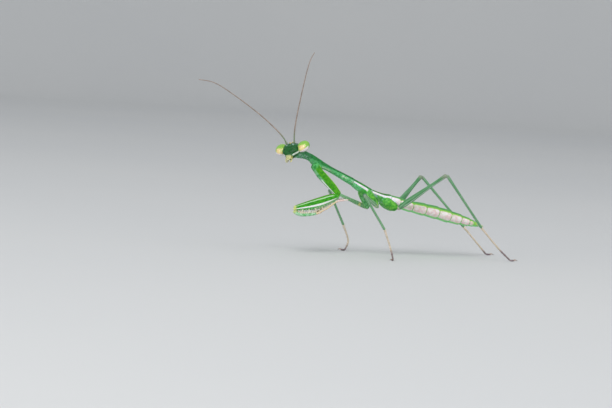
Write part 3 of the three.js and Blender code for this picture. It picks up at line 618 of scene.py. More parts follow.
def rounded_ends(length, start, end, spacing):
    """Distances along a limb and the share of its girth at each, rounded off over its end radii."""
    lead = 1 - np.cos(np.linspace(0.12, math.pi / 2, 7))
    distances = np.concatenate((lead * start, np.arange(start + spacing, length - end, spacing),
                                length - lead[::-1] * end))
    share = np.sqrt(1 - (1 - np.clip(distances / start, 0, 1)) ** 2)
    share *= np.sqrt(1 - (1 - np.clip((length - distances) / end, 0, 1)) ** 2)
    return distances, np.maximum(share, 0.12)


def limb_form(course, table, around=40, spacing=0.14, relief=None, outward=None):
    """A limb with rounded ends. Where outward is given, a turn of 0 faces that way."""
    ends = [min(table["side"][end], table["up"][end], course.length / 4) for end in (0, -1)]
    distances, share = rounded_ends(course.length, *ends, spacing)
    sizes = {part: spread(table[part], distances / course.length) * share for part in ("side", "up", "down")}
    mirrored = False
    if outward is not None:
        mirrored = float(np.dot(course.at(course.length / 2)[2][0], outward)) < 0
    shaped = None
    if relief:
        def shaped(along, turn):
            return relief(along / course.length, turn) * np.interp(along, distances, share)
    return loft(course, distances, sizes, around, shaped, mirrored)


def even(stations):
    return {"side": stations, "up": stations, "down": stations}


THIGH_FORM = {"keel": 0.06, "lower_keel": 0.05, "dish": 0.05, "knee_lobe": 0.07}
COXA_FORM = {"keel": 0.05, "dish": 0.05, "swelling": 0.05}
FOOT_FORM = {"swelling": 0.03, "waist": 0.06}


def thigh_relief(t, turn):
    """Keels along the thigh, the groove for the shank and the lobes at the knee."""
    height = np.sin(turn)
    keel = THIGH_FORM["keel"] * bump(np.cos(turn), 0, 0.18) * (height > 0)
    lower_keel = THIGH_FORM["lower_keel"] * bump(height, -0.55, 0.1)
    dish = THIGH_FORM["dish"] * bump(height, 0.0, 0.3)
    out = keel * smooth(t, 0.05, 0.15) * smooth(t, 0.98, 0.9)
    out = out + lower_keel * smooth(t, 0.12, 0.3) * smooth(t, 0.95, 0.85)
    out = out - dish * smooth(t, 0.15, 0.3) * smooth(t, 0.9, 0.8)
    return out + THIGH_FORM["knee_lobe"] * bump(t, 0.965, 0.03) * smooth(abs(height), 0.9, 0.5)


def coxa_relief(t, turn):
    """Keels before and behind, a shallow dish on each side and a swelling at the joint."""
    keel = COXA_FORM["keel"] * bump(np.cos(turn), 0, 0.2)
    dish = COXA_FORM["dish"] * bump(np.sin(turn), 0.05, 0.3)
    out = keel * smooth(t, 0.1, 0.25) * smooth(t, 0.98, 0.9)
    out = out - dish * smooth(t, 0.15, 0.3) * smooth(t, 0.9, 0.8)
    return out + COXA_FORM["swelling"] * bump(t, 0.93, 0.03)


def foot_relief(joints):
    """Narrow waists between the joints of a foot, and a swelling before each."""
    def relief(t, turn):
        waists = sum(bump(t, joint, 0.012) for joint in joints)
        swell = sum(bump(t, joint - 0.035, 0.025) for joint in joints)
        return swell * FOOT_FORM["swelling"] - waists * FOOT_FORM["waist"]
    return relief


def leg_cuticle(name, colours, speck, share=0.5):
    """Mottled cuticle of two near colours with paler specks, and the noises that it is made of."""
    finish = Finish(name, **CUTICLE_GLOSS)
    blotch, fleck = finish.noise(0.5, 3), finish.noise(0.15, 2)
    colour = (fleck.rise(0.54, 0.66) * share).mix(blotch.blend(0.35, 0.65, colours), speck)
    return finish, colour, blotch, fleck


def coated(finish, colour, blotch, depth=GRAIN_DEPTH):
    finish.coat(colour, blotch.rise(0, 1, *CUTICLE_ROUGHNESS), finish.noise(0.06, 3) + blotch, depth)
    return finish.material


# The coxa: bright green, with a yellow-green rear rim and a white line low on its front edge.
COXA_COLOURS = {
    "green": (tint(40, 138, 6), tint(78, 168, 18)), "speck": tint(164, 166, 40), "rim": tint(140, 192, 34),
    "inner": (tint(66, 158, 84), tint(134, 204, 144)), "line": tint(246, 250, 248),
    "root": (tint(44, 140, 60), tint(90, 184, 104)),
}
finish, colour, blotch, fleck = leg_cuticle("foreleg coxa", COXA_COLOURS["green"],
                                            COXA_COLOURS["speck"], 0.16)
along, top, outer = finish.along, finish.top, finish.outer
colour = top.rise(0.8, 0.98).mix(colour, COXA_COLOURS["rim"])
inner = either(outer.rise(0, -0.4), top.rise(-0.5, -0.72) * along.rise(5.0, 3.6))
colour = inner.mix(colour, blotch.blend(0.4, 0.6, COXA_COLOURS["inner"]))
front_line = top.near(-0.88, 0.13, 0.06) * along.within((3.0, 4.2), (8.3, 7.6)) * outer.rise(-0.3, 0.1)
colour = front_line.mix(colour, COXA_COLOURS["line"])
colour = along.rise(1.5, 0.5).mix(colour, blotch.blend(0.4, 0.6, COXA_COLOURS["root"]))
coxa_finish = coated(finish, colour, blotch)

# The thigh: bright green with a soft pale line above, a white one below and fine stripes on its belly.
THIGH_COLOURS = {
    "green": (tint(34, 140, 10), tint(70, 170, 28)), "speck": tint(110, 190, 60), "keel": tint(92, 130, 34),
    "belly": (tint(44, 156, 60), tint(96, 190, 96)), "stripes": (tint(150, 214, 160), tint(240, 206, 206)),
    "spine roots": tint(240, 216, 204), "line above": tint(196, 226, 186),
    "line below": tint(250, 248, 250), "knee": tint(206, 216, 130),
}
finish, colour, blotch, fleck = leg_cuticle("foreleg thigh", THIGH_COLOURS["green"],
                                            THIGH_COLOURS["speck"], 0.25)
along, top = finish.along, finish.top
colour = top.rise(0.84, 0.97).mix(colour, THIGH_COLOURS["keel"])
colour = top.rise(-0.5, -0.62).mix(colour, fleck.blend(0.4, 0.6, THIGH_COLOURS["belly"]))
stripes = top.math("SINE", top * 34).rise(-0.2, 0.7) * along.rise(6.4, 4.4)
stripes = stripes * top.rise(-0.2, -0.34) * top.rise(-0.96, -0.9)
colour = (stripes * 0.8).mix(colour, fleck.blend(0.45, 0.6, THIGH_COLOURS["stripes"]))
roots = along.math("SINE", along * (2 * math.pi / SPINE_ROOT_PITCH)).rise(0.2, 0.8)
roots = roots * top.near(-0.86, 0.1, 0.03) * along.rise(1.6, 2.2)
colour = (roots * 0.85).mix(colour, THIGH_COLOURS["spine roots"])
wavy_top = top + (blotch - 0.5) * 0.14
line_above = wavy_top.near(0.56, 0.16, 0.06) * along.rise(0.9, 1.6)
colour = (line_above * 0.85).mix(colour, THIGH_COLOURS["line above"])
line_below = wavy_top.near(-0.42, 0.14, 0.07) * along.rise(0.5, 1.2)
colour = (line_below * along.between(1, 6, 0.7, 1)).mix(colour, THIGH_COLOURS["line below"])
colour = along.rise(9.5, 10.0).mix(colour, THIGH_COLOURS["knee"])
thigh_finish = coated(finish, colour, blotch)

# The shank is pale mint and the foot cream, both with a finer grain than the thigh.
SHANK_COLOURS = {"mint": (tint(96, 186, 108), tint(172, 218, 176)), "speck": tint(246, 248, 248),
                 "knee": tint(206, 214, 130)}
FORE_FOOT_COLOURS = {"cream": (tint(214, 200, 150), tint(226, 190, 168)), "speck": tint(240, 222, 208),
                     "end": (tint(226, 196, 190), tint(238, 224, 214))}
FINE_GRAIN_DEPTH = 0.02
finish, colour, blotch, fleck = leg_cuticle("foreleg shank", SHANK_COLOURS["mint"], SHANK_COLOURS["speck"])
colour = finish.along.rise(1.3, 0.5).mix(colour, SHANK_COLOURS["knee"])
shank_finish = coated(finish, colour, blotch, FINE_GRAIN_DEPTH)

finish, colour, blotch, fleck = leg_cuticle("foreleg foot", FORE_FOOT_COLOURS["cream"],
                                            FORE_FOOT_COLOURS["speck"])
colour = finish.along.rise(4.6, 5.4).mix(colour, blotch.blend(0.4, 0.6, FORE_FOOT_COLOURS["end"]))
foot_finish = coated(finish, colour, blotch, FINE_GRAIN_DEPTH)

grasping = {}
for name, stance in GRASPING_STANCE.items():
    outward = np.array([0, math.copysign(1, stance["hip"][1]), 0])
    turn_point, knee = np.array(stance["turn"]), np.array(stance["knee"])
    backward = (turn_point - knee) / np.linalg.norm(turn_point - knee)
    below = np.cross([0, 1, 0], backward)
    below /= np.linalg.norm(below)

    def folded(points):
        return [knee + backward * reach + below * drop + outward * out for reach, drop, out in points]

    courses = {
        "coxa": Course([stance["hip"], stance["turn"]]), "femur": Course([stance["turn"], stance["knee"]]),
        "tibia": Course(folded(SHANK_COURSE)), "hook": Course(folded(HOOK_COURSE)),
        "tarsus": Course(folded(FORE_FOOT_COURSE)),
    }
    grasping[name] = {"outward": outward, "courses": courses}
    for part, table, around, spacing, relief, finish in (
            ("coxa", FORE_COXA, 44, 0.12, coxa_relief, coxa_finish),
            ("femur", FORE_FEMUR, 44, 0.12, thigh_relief, thigh_finish),
            ("tibia", FORE_TIBIA, 32, 0.12, None, shank_finish),
            ("tarsus", even(FORE_FOOT), 24, 0.08, foot_relief(FORE_FOOT_JOINTS), foot_finish)):
        form = limb_form(courses[part], table, around, spacing, relief, outward)
        flesh.append((f"{name}_{part}", form, finish))

# ---------- The walking legs ----------
# Four slim tubes of cuticle. Each has a stout coxa, a long thigh, a shank and a foot of five joints.
# The last joint of each foot lies flat and carries two claws.
WALKING_STANCE = {
    "mid_left": {
        "hip": [13.2, -1.1, 13.8], "turn": [15.6, -1.75, 10.5], "knee": [9.1, -9.3, 13.5],
        "ankle": [14.15, -9.3, 6.4], "bend": [16.0, -9.0, 2.1], "toe": [16.65, -8.85, 0.2],
    },
    "mid_right": {
        "hip": [12.5, 1.1, 13.8], "turn": [15.0, 1.75, 9.9], "knee": [8.75, 9.2, 13.1],
        "ankle": [12.4, 8.6, 5.6], "bend": [13.8, 8.8, 2.1], "toe": [13.2, 8.9, 0.2],
    },
    "hind_left": {
        "hip": [16.9, -1.1, 12.0], "turn": [20.1, -1.8, 10.2], "knee": [27.8, -8.75, 18.2],
        "ankle": [37.6, -6.95, 7.1], "bend": [42.5, -6.35, 2.5], "toe": [45.4, -6.0, 0.2],
    },
    "hind_right": {
        "hip": [17.2, 1.1, 11.9], "turn": [20.9, 1.8, 9.95], "knee": [30.05, 8.6, 16.7],
        "ankle": [40.0, 6.4, 6.0], "bend": [43.2, 6.15, 2.7], "toe": [45.6, 6.0, 0.2],
    },
}
# Half sizes of each part from its root to its end, evenly spaced, alike all round.
WALKING_LIMBS = {
    "mid": {"coxa": [0.62, 0.8, 0.7, 0.5], "femur": [0.38, 0.47, 0.42, 0.36, 0.32, 0.38],
            "tibia": [0.3, 0.25, 0.23, 0.26]},
    "hind": {"coxa": [0.74, 1.04, 0.98, 0.64], "femur": [0.46, 0.62, 0.54, 0.42, 0.36, 0.44],
             "tibia": [0.34, 0.27, 0.25, 0.28]},
}
WALKING_FOOT = [0.25, 0.2, 0.18, 0.18, 0.19, 0.17]
WALKING_FOOT_JOINTS = (0.48, 0.64, 0.76, 0.86)
TOE, TOE_LENGTH = [0.19, 0.18], 1.0
TOE_BEARING = {"mid": 55, "hind": 187}
WALKING_THIGH_FORM = {"keel": 0.035, "nick": 0.05, "knee_lobe": 0.05}


def walking_thigh_relief(t, turn):
    """Keels above and below, a nick near the root and lobes at the knee."""
    height = np.sin(turn)
    keels = bump(height, -0.7, 0.12) + bump(height, 0.75, 0.12)
    out = WALKING_THIGH_FORM["keel"] * keels * smooth(t, 0.06, 0.2) * smooth(t, 0.96, 0.88)
    out = out - WALKING_THIGH_FORM["nick"] * bump(t, 0.06, 0.015)
    return out + WALKING_THIGH_FORM["knee_lobe"] * bump(t, 0.965, 0.02) * smooth(abs(height), 0.95, 0.6)


# The coxa is lime green with darker blotches, paler inside, and takes the flank's green at its root.
finish, colour, blotch, fleck = leg_cuticle("walking coxa", (tint(52, 156, 30), tint(112, 194, 66)),
                                            tint(160, 210, 90), 0.25)
colour = (finish.noise(0.8, 2).rise(0.54, 0.64) * 0.7).mix(colour, tint(38, 128, 50))
inside = blotch.blend(0.35, 0.65, (tint(64, 146, 78), tint(118, 192, 124)))
colour = finish.outer.rise(0.1, -0.3).mix(colour, inside)
root = (finish.along + (blotch - 0.5) * 1.2).rise(1.5, 0.7)
colour = (root * 0.85).mix(colour, blotch.blend(0.35, 0.65, (tint(60, 156, 56), tint(116, 194, 92))))
walking_coxa = coated(finish, colour, blotch)


def dusty_green(name, colours, pale):
    """Dull green cuticle with fine lengthwise streaks."""
    finish = Finish(name, **CUTICLE_GLOSS)
    blotch, streak = finish.noise(0.6, 3), finish.streaks(0.3, 2.5)
    colour = (streak.rise(0.38, 0.62) * 0.8 + blotch * 0.2).mix(*colours)
    return finish, (streak.rise(0.6, 0.7) * 0.6).mix(colour, pale), blotch


# Thighs are dusty blue-green with a pale line beneath and a greyish knee; on the mid pair the knee is darker,
# a painted shade. The first joint has a pale ring.
THIGHS = {
    "mid": {"length": 10.4, "greens": (tint(84, 148, 92), tint(128, 178, 132)), "knee": tint(84, 100, 104)},
    "hind": {"length": 13.2, "greens": (tint(66, 128, 76), tint(98, 152, 108)), "knee": tint(150, 150, 136)},
}
walking_thighs = {}
for pair, thigh in THIGHS.items():
    finish, colour, blotch = dusty_green(pair + " thigh", thigh["greens"], tint(146, 186, 146))
    along = finish.along
    if pair == "mid":
        flecks = finish.noise(0.28, 2)
        colour = (flecks.rise(0.55, 0.64) * 0.7).mix(colour, tint(170, 212, 160))
        yellow_ring = along.near(2.1, 0.45, 0.15) * flecks.rise(0.35, 0.5)
        colour = (yellow_ring * 0.8).mix(colour, tint(206, 206, 120))
    line_beneath = finish.top.near(-0.72, 0.16, 0.06) * along.rise(1, 2)
    colour = (line_beneath * 0.8).mix(colour, tint(186, 214, 190))
    colour = (along.near(0.35, 0.3, 0.1) * 0.7).mix(colour, tint(214, 196, 186))
    # On the mid pair this darker knee is painted shade.
    colour = (along.rise(thigh["length"] * 0.86, thigh["length"] * 0.97) * 0.7).mix(colour, thigh["knee"])
    walking_thighs[pair] = coated(finish, colour, blotch)

finish, colour, blotch = dusty_green("walking shank", (tint(90, 150, 102), tint(122, 172, 130)),
                                     tint(160, 196, 160))
colour = (finish.along.rise(1.2, 0.2) * 0.6).mix(colour, tint(150, 156, 140))
walking_shank = coated(finish, colour, blotch, FINE_GRAIN_DEPTH)

# Feet are cream, and dull violet-grey from some way down.
FOOT_COLOURS = {"cream": (tint(206, 192, 166), tint(226, 208, 190)), "speck": tint(236, 226, 212),
                "grey": (tint(128, 112, 116), tint(156, 138, 140))}
walking_feet = {}
for pair, grey_from in (("mid", 4.0), ("hind", 6.0)):
    finish, colour, blotch, fleck = leg_cuticle(pair + " foot", FOOT_COLOURS["cream"], FOOT_COLOURS["speck"])
    grey = blotch.blend(0.4, 0.6, FOOT_COLOURS["grey"])
    colour = finish.along.rise(grey_from, grey_from + 1.6).mix(colour, grey)
    walking_feet[pair] = coated(finish, colour, blotch, FINE_GRAIN_DEPTH)
finish, colour, blotch, fleck = leg_cuticle("toe", (tint(116, 100, 108), tint(150, 130, 136)),
                                            tint(190, 176, 170))
toe_finish = coated(finish, colour, blotch, FINE_GRAIN_DEPTH)

walking = {}
for name, stance in WALKING_STANCE.items():
    pair = name.split("_")[0]
    girths = WALKING_LIMBS[pair]
    outward = np.array([0, math.copysign(1, stance["hip"][1]), 0])
    bearing = math.radians(TOE_BEARING[pair])
    heading = np.array([-math.cos(bearing), outward[1] * math.sin(bearing), 0])
    toe = np.array(stance["toe"])
    tip = toe + heading * TOE_LENGTH
    courses = {
        "coxa": Course([stance["hip"], stance["turn"]]), "femur": Course([stance["turn"], stance["knee"]]),
        "tibia": Course([stance["knee"], stance["ankle"]], ref=(0, 1, 0)),
        "tarsus": Course([stance["ankle"], stance["bend"], stance["toe"]], ref=(0, 1, 0)),
        "toe": Course([toe, tip]),
    }
    walking[name] = {"heading": heading, "tip": tip, "courses": courses}
    for part, sizes, around, spacing, relief, facing, finish in (
            ("coxa", girths["coxa"], 40, 0.12, coxa_relief, outward, walking_coxa),
            ("femur", girths["femur"], 36, 0.14, walking_thigh_relief, outward, walking_thighs[pair]),
            ("tibia", girths["tibia"], 28, 0.14, None, None, walking_shank),
            ("tarsus", WALKING_FOOT, 24, 0.08, foot_relief(WALKING_FOOT_JOINTS), None, walking_feet[pair]),
            ("toe", TOE, 24, 0.08, None, None, toe_finish)):
        form = limb_form(courses[part], even(sizes), around, spacing, relief, facing)
        flesh.append((f"{name}_{part}", form, finish))

# ---------- The skin ----------
# The insect's cuticle: all the soft forms joined into one closed surface, so that no seam shows where
# a limb meets the trunk. Each form keeps its own finish, and its own stretch of the skin's unwrap.
UNWRAP_SPAN, UNWRAP_GAP = 46.0, 0.35
# A crease is an edge bent by more than this. Where a coxa leaves the trunk, the soft skin is wider.
CREASE_ANGLE, SHARP_ANGLE = 0.5, 0.9
HIP_MEMBRANE_REACH, HIP_MEMBRANE_RINGS = 2.6, 5
CREASE_ROUNDS, HIP_ROUNDS = 4, 18


def mesh_object(name, points, faces, material=None, lays=None):
    """A solid from points in millimetres and its faces, set in the insect's place."""
    mesh = bpy.data.meshes.new(name)
    mesh.from_pydata((np.asarray(points) * MM + HOME).tolist(), [], faces)
    for layer, values in (lays or {}).items():
        mesh.uv_layers.new(name=layer).data.foreach_set("uv", np.asarray(values, float).ravel())
    if material:
        mesh.materials.append(material)
    mesh.shade_smooth()
    made = bpy.data.objects.new(name, mesh)
    bpy.context.scene.collection.objects.link(made)
    return made


def shelf_places(sizes, span, gap):
    """Puts rectangles in rows across a square and tells the corner of each."""
    corners, x, y, row = {}, gap, gap, 0
    for index in sorted(range(len(sizes)), key=lambda i: -sizes[i][1]):
        wide, tall = sizes[index]
        if x + wide + gap > span:
            x, y, row = gap, y + row + gap, 0
        corners[index] = (x, y)
        x, row = x + wide + gap, max(row, tall)
    return corners, y + row + gap


rectangles = [(form["girth"], form["along"][1] - form["along"][0]) for _, form, _ in flesh]
corners, used = shelf_places(rectangles, UNWRAP_SPAN, UNWRAP_GAP)
unwrap_side = max(used, UNWRAP_SPAN)
pieces = []
for index, (name, form, finish) in enumerate(flesh):
    unwrap = np.array(corners[index]) + form["lay"] * [rectangles[index][0], 1] - [0, form["along"][0]]
    pieces.append(mesh_object(name, form["points"], form["faces"], finish,
                              {"OFBake": unwrap / unwrap_side, "Lay": form["lay"]}))
skin = pieces[0]
skin.name = "skin"
others = bpy.data.collections.new("flesh")
for piece in pieces[1:]:
    bpy.context.scene.collection.objects.unlink(piece)
    others.objects.link(piece)
joining = skin.modifiers.new("joining", "BOOLEAN")
joining.operation, joining.operand_type, joining.collection = "UNION", "COLLECTION", others
joining.solver, joining.material_mode = "MANIFOLD", "TRANSFER"
graph = bpy.context.evaluated_depsgraph_get()
whole = bpy.data.meshes.new_from_object(skin.evaluated_get(graph))
skin.modifiers.clear()
# The creases where one form runs into another are softened, as the joint membranes are.
shape = bmesh.new()
shape.from_mesh(whole)
hips = [Vector(np.array(stance["hip"]) * MM + HOME)
        for stance in (*GRASPING_STANCE.values(), *WALKING_STANCE.values())]
creased = {corner for edge in shape.edges
           if len(edge.link_faces) == 2 and edge.calc_face_angle(0) > CREASE_ANGLE
           for corner in edge.verts}
eased = {corner for corner in creased
         if min((corner.co - hip).length for hip in hips) < HIP_MEMBRANE_REACH * MM}
for _ in range(HIP_MEMBRANE_RINGS):
    eased |= {edge.other_vert(corner) for corner in eased for edge in corner.link_edges}
for soft, rounds in ((creased, CREASE_ROUNDS), (eased, HIP_ROUNDS)):
    soft = sorted(soft, key=lambda corner: corner.index)
    for _ in range(rounds):
        bmesh.ops.smooth_vert(shape, verts=soft, factor=0.5,
                              use_axis_x=True, use_axis_y=True, use_axis_z=True)
shape.to_mesh(whole)
shape.free()
whole.shade_smooth()
whole.set_sharp_from_angle(angle=SHARP_ANGLE)
skin.data = whole
for piece in pieces[1:]:
    bpy.data.objects.remove(piece)
bpy.data.collections.remove(others)
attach(skin, "root")
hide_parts("head", "neck", "pronotum", "mesothorax", "metathorax",
            *(f"abdomen_{index + 1}" for index in range(len(ABDOMEN_LENGTHS))),
            *(f"{leg}_{part}" for leg in (*GRASPING_STANCE, *WALKING_STANCE)
              for part in ("coxa", "femur", "tibia", "tarsus")))

# ---------- The compound eyes ----------
# Two slanted oval eyes of many fine facets, set into the sides of the head, glossy and coloured in zones.
# Yellow-green lies above, cream with warm spots in the middle and pinkish white below, which is partly a
# painted highlight.
EYE = {"out": 2.52, "front": -0.12, "up": 0.3, "across": 1.34, "tall": 1.44, "deep": 0.94, "slant": 38,
       "rings": 56, "around": 96}
FACET_SIZE, FACET_DEPTH = 0.06, 0.006
EYE_COLOURS = {
    "green": tint(134, 190, 62), "cream": (tint(230, 220, 148), tint(240, 206, 150)),
    "warm": tint(236, 164, 100), "white": tint(240, 226, 230), "underside": tint(70, 150, 50),
    "outer rim": tint(108, 176, 48),
}
facets = Finish("eye facets", IOR=1.5, Coat_Weight=0.6, Coat_Roughness=0.06)
# Directions on the eye: upward along its length, toward its outer side and to the front.
rise = 1 - facets.along * (1 / EYE["tall"])
reach = (1 - rise * rise).math("SQRT", 1 - rise * rise)
outer, fore = reach * facets.outer, reach * facets.top
blotch, fleck = facets.noise(0.5, 2), facets.noise(0.3, 1)
level = rise * 0.57 - outer * 0.44 + fore * 0.7 + (blotch - 0.5) * 0.35
sideways = rise * 0.78 + outer * 0.57 - fore * 0.27
middle_zone = sideways.within((-0.95, -0.3), (0.55, 0.0)) * level.rise(0.6, 0.22)
colour = middle_zone.mix(EYE_COLOURS["green"], fleck.blend(0.35, 0.65, EYE_COLOURS["cream"]))
warm_spots = fleck.rise(0.52, 0.66) * level.near(-0.1, 0.6, 0.1) * sideways.rise(0.4, 0)
colour = (warm_spots * 0.7).mix(colour, EYE_COLOURS["warm"])
# Pinkish white low on the eye: a pale zone of the eye with a painted highlight in it.
colour = (level - sideways * 0.5).rise(-0.3, -0.55).mix(colour, EYE_COLOURS["white"])
colour = level.rise(-0.78, -0.92).mix(colour, EYE_COLOURS["underside"])
colour = sideways.rise(0.72, 0.9).mix(colour, EYE_COLOURS["outer rim"])
cells = colour.node("ShaderNodeTexVoronoi", {"feature": "DISTANCE_TO_EDGE"},
                    {"Vector": facets.place, "Scale": 1 / (FACET_SIZE * MM)})
facets.coat(colour, blotch.rise(0, 1, 0.16, 0.24), cells.rise(0, 0.25), FACET_DEPTH)

for name, side in (("eye_left", 1), ("eye_right", -1)):
    lean = Quaternion(head_front, -side * math.radians(EYE["slant"]))
    tall = head_up.copy()
    tall.rotate(lean)
    middle = in_head(side * EYE["out"], EYE["front"], EYE["up"])
    half = np.array(tall) * EYE["tall"]
    fall = EYE["tall"] * (1 - np.cos(np.linspace(0.02, math.pi - 0.02, EYE["rings"])))
    ring = np.sqrt(1 - (1 - fall / EYE["tall"]) ** 2)
    sizes = {"side": ring * EYE["across"], "up": ring * EYE["deep"], "down": ring * EYE["deep"]}
    ball = loft(Course([middle + half, middle - half], head_front), fall, sizes, EYE["around"],
                mirrored=side < 0)
    eye = mesh_object(name, ball["points"], ball["faces"], facets.material, {"Lay": ball["lay"]})
    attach(eye, "root")
    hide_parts(name)

# ---------- The small eyes on the brow ----------
# Three glassy beads between the feelers, the middle one lowest. Each is set in the cuticle of the brow.
# How far out, forward and up each bead is on the head, and its half size.
BEADS = ((0, 1.0, 0.62, 0.15), (-0.3, 0.86, 0.95, 0.16), (0.3, 0.86, 0.95, 0.16))


def merged(name, forms, finishes, replaced=()):
    """Several closed forms as one piece, each with its own finish."""
    points, faces, lays, kinds, start = [], [], [], [], 0
    names = list(dict.fromkeys(finishes))
    for form, finish in zip(forms, finishes):
        points.append(form["points"])
        faces += [[corner + start for corner in face] for face in form["faces"]]
        lays.append(form["lay"])
        kinds += [names.index(finish)] * len(form["faces"])
        start += len(form["points"])
    made = mesh_object(name, np.concatenate(points), faces, None, {"Lay": np.concatenate(lays)})
    for finish in names:
        made.data.materials.append(finish)
    made.data.polygons.foreach_set("material_index", kinds)
    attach(made, "root")
    if replaced:
        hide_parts(*replaced)
    return made


def small_finish(name, size, colours, roughness, depth, grain=None, point=None, ease=(0.3, 0.7), detail=2,
                 **constants):
    """A mottled finish for a small piece. point is the colour of its tip, and where it begins and is full."""
    finish = Finish(name, **constants)
    blotch = finish.noise(size, detail)
    colour = blotch.blend(*ease, colours)
    if point:
        colour = finish.along.rise(*point[1]).mix(colour, point[0])
    height = finish.noise(grain, 3) + blotch if grain else blotch
    finish.coat(colour, blotch.rise(0, 1, *roughness), height, depth)
    return finish.material


bead_finish = small_finish("glassy bead", 0.12, (tint(206, 190, 120), tint(168, 150, 84)), (0.1, 0.2), 0.004,
                           IOR=1.5, Coat_Weight=0.8, Coat_Roughness=0.04)
beads = []
for out, front, upward, size in BEADS:
    fall = size * (1 - np.cos(np.linspace(0.05, math.pi - 0.05, 14)))
    ring = np.sqrt(1 - (1 - fall / size) ** 2) * size
    ends = [in_head(out, front, upward + size), in_head(out, front, upward - size)]
    beads.append(loft(Course(ends, head_front), fall, even(ring), 20))
merged("brow_beads", beads, [bead_finish] * len(beads))

# ---------- The mouth ----------
# The lip is a soft flap over two hard jaws. Thin jointed palps hang behind and beside it.
# Places are how far out, forward and up they are on the head, and sizes are half sizes down the part.
LIP = {"top": -2.4, "bottom": -3.4, "side": [0.56, 0.58, 0.5, 0.34], "depth": [0.32, 0.28, 0.22, 0.14]}
PALP_COURSE = [[0.46, -0.2, -2.5], [0.68, -0.05, -2.95], [0.62, -0.22, -3.35], [0.5, -0.2, -3.7]]
LABIAL_COURSE = [[0.25, -0.3, -2.7], [0.36, -0.38, -3.2], [0.28, -0.25, -3.6]]
JAW_COURSE = [[0.56, -0.05, -2.2], [0.5, -0.02, -2.75], [0.15, 0.0, -3.2]]
PALP, LABIAL_PALP, JAW = [0.13, 0.12, 0.12, 0.11, 0.08], [0.11, 0.11, 0.08], [0.26, 0.26, 0.2, 0.1]
PALP_JOINTS = (0.2, 0.45, 0.72)


def thread_form(points, stations, around, spacing, joints, swell=0.02, ref=(0, 0, 1)):
    """A thin jointed thread: even round sizes with a waist at each joint."""
    def relief(t, turn):
        waists = sum(bump(t, joint, 0.018) for joint in joints)
        bellies = sum(bump(t, joint - 0.06, 0.05) for joint in joints)
        return (bellies * swell - waists * swell * 2) * np.ones_like(turn)
    return limb_form(Course(points, ref), even(stations), around, spacing, relief)


soft_finish = small_finish("mouth cuticle", 0.25, (tint(162, 170, 104), tint(214, 204, 156)), (0.3, 0.46),
                           FINE_GRAIN_DEPTH, 0.05, ease=(0.35, 0.65), detail=3, **CUTICLE_GLOSS)
jaw_finish = small_finish("hard jaw", 0.2, (tint(128, 134, 48), tint(164, 160, 76)), (0.22, 0.4), 0.01,
                          point=(tint(70, 40, 24), (0.6, 1.0)), ease=(0.35, 0.65), detail=3, IOR=1.5)


def beside_head(side, course):
    return [in_head(side * out, front, upward) for out, front, upward in course]


mouth_forms = [limb_form(Course([in_head(0, 0.18, LIP["top"]), in_head(0, 0.12, LIP["bottom"])], head_front),
                         {"side": LIP["side"], "up": LIP["depth"], "down": LIP["depth"]}, 32, 0.07)]
mouth_finishes = [soft_finish]
for side in (-1, 1):
    for course, stations in ((PALP_COURSE, PALP), (LABIAL_COURSE, LABIAL_PALP)):
        mouth_forms.append(thread_form(beside_head(side, course), stations, 16, 0.05, PALP_JOINTS,
                                       ref=head_front))
    mouth_forms.append(limb_form(Course(beside_head(side, JAW_COURSE), head_front), even(JAW), 20, 0.06))
    mouth_finishes += [soft_finish, soft_finish, jaw_finish]
merged("mouthparts_fine", mouth_forms, mouth_finishes, ("mouthparts",))

# ---------- The feelers ----------
# Long threads of many short joints of dull cuticle, thinning toward the tip.
# Each rises from a stout root joint on the face.
ANTENNA_COURSE = {
    "left": [[-4.7, -3.0, 26.0], [-5.6, -7.5, 32.6], [-6.2, -13.0, 40.4], [-5.9, -14.4, 42.2]],
    "right": [[-6.25, -0.66, 24.28], [-10.4, -1.2, 27.7], [-17.0, -2.2, 31.9], [-23.0, -3.4, 34.9],
              [-26.6, -4.2, 35.4]],
}
FEELER_JOINT, FEELER_SWELL = 0.42, 0.007
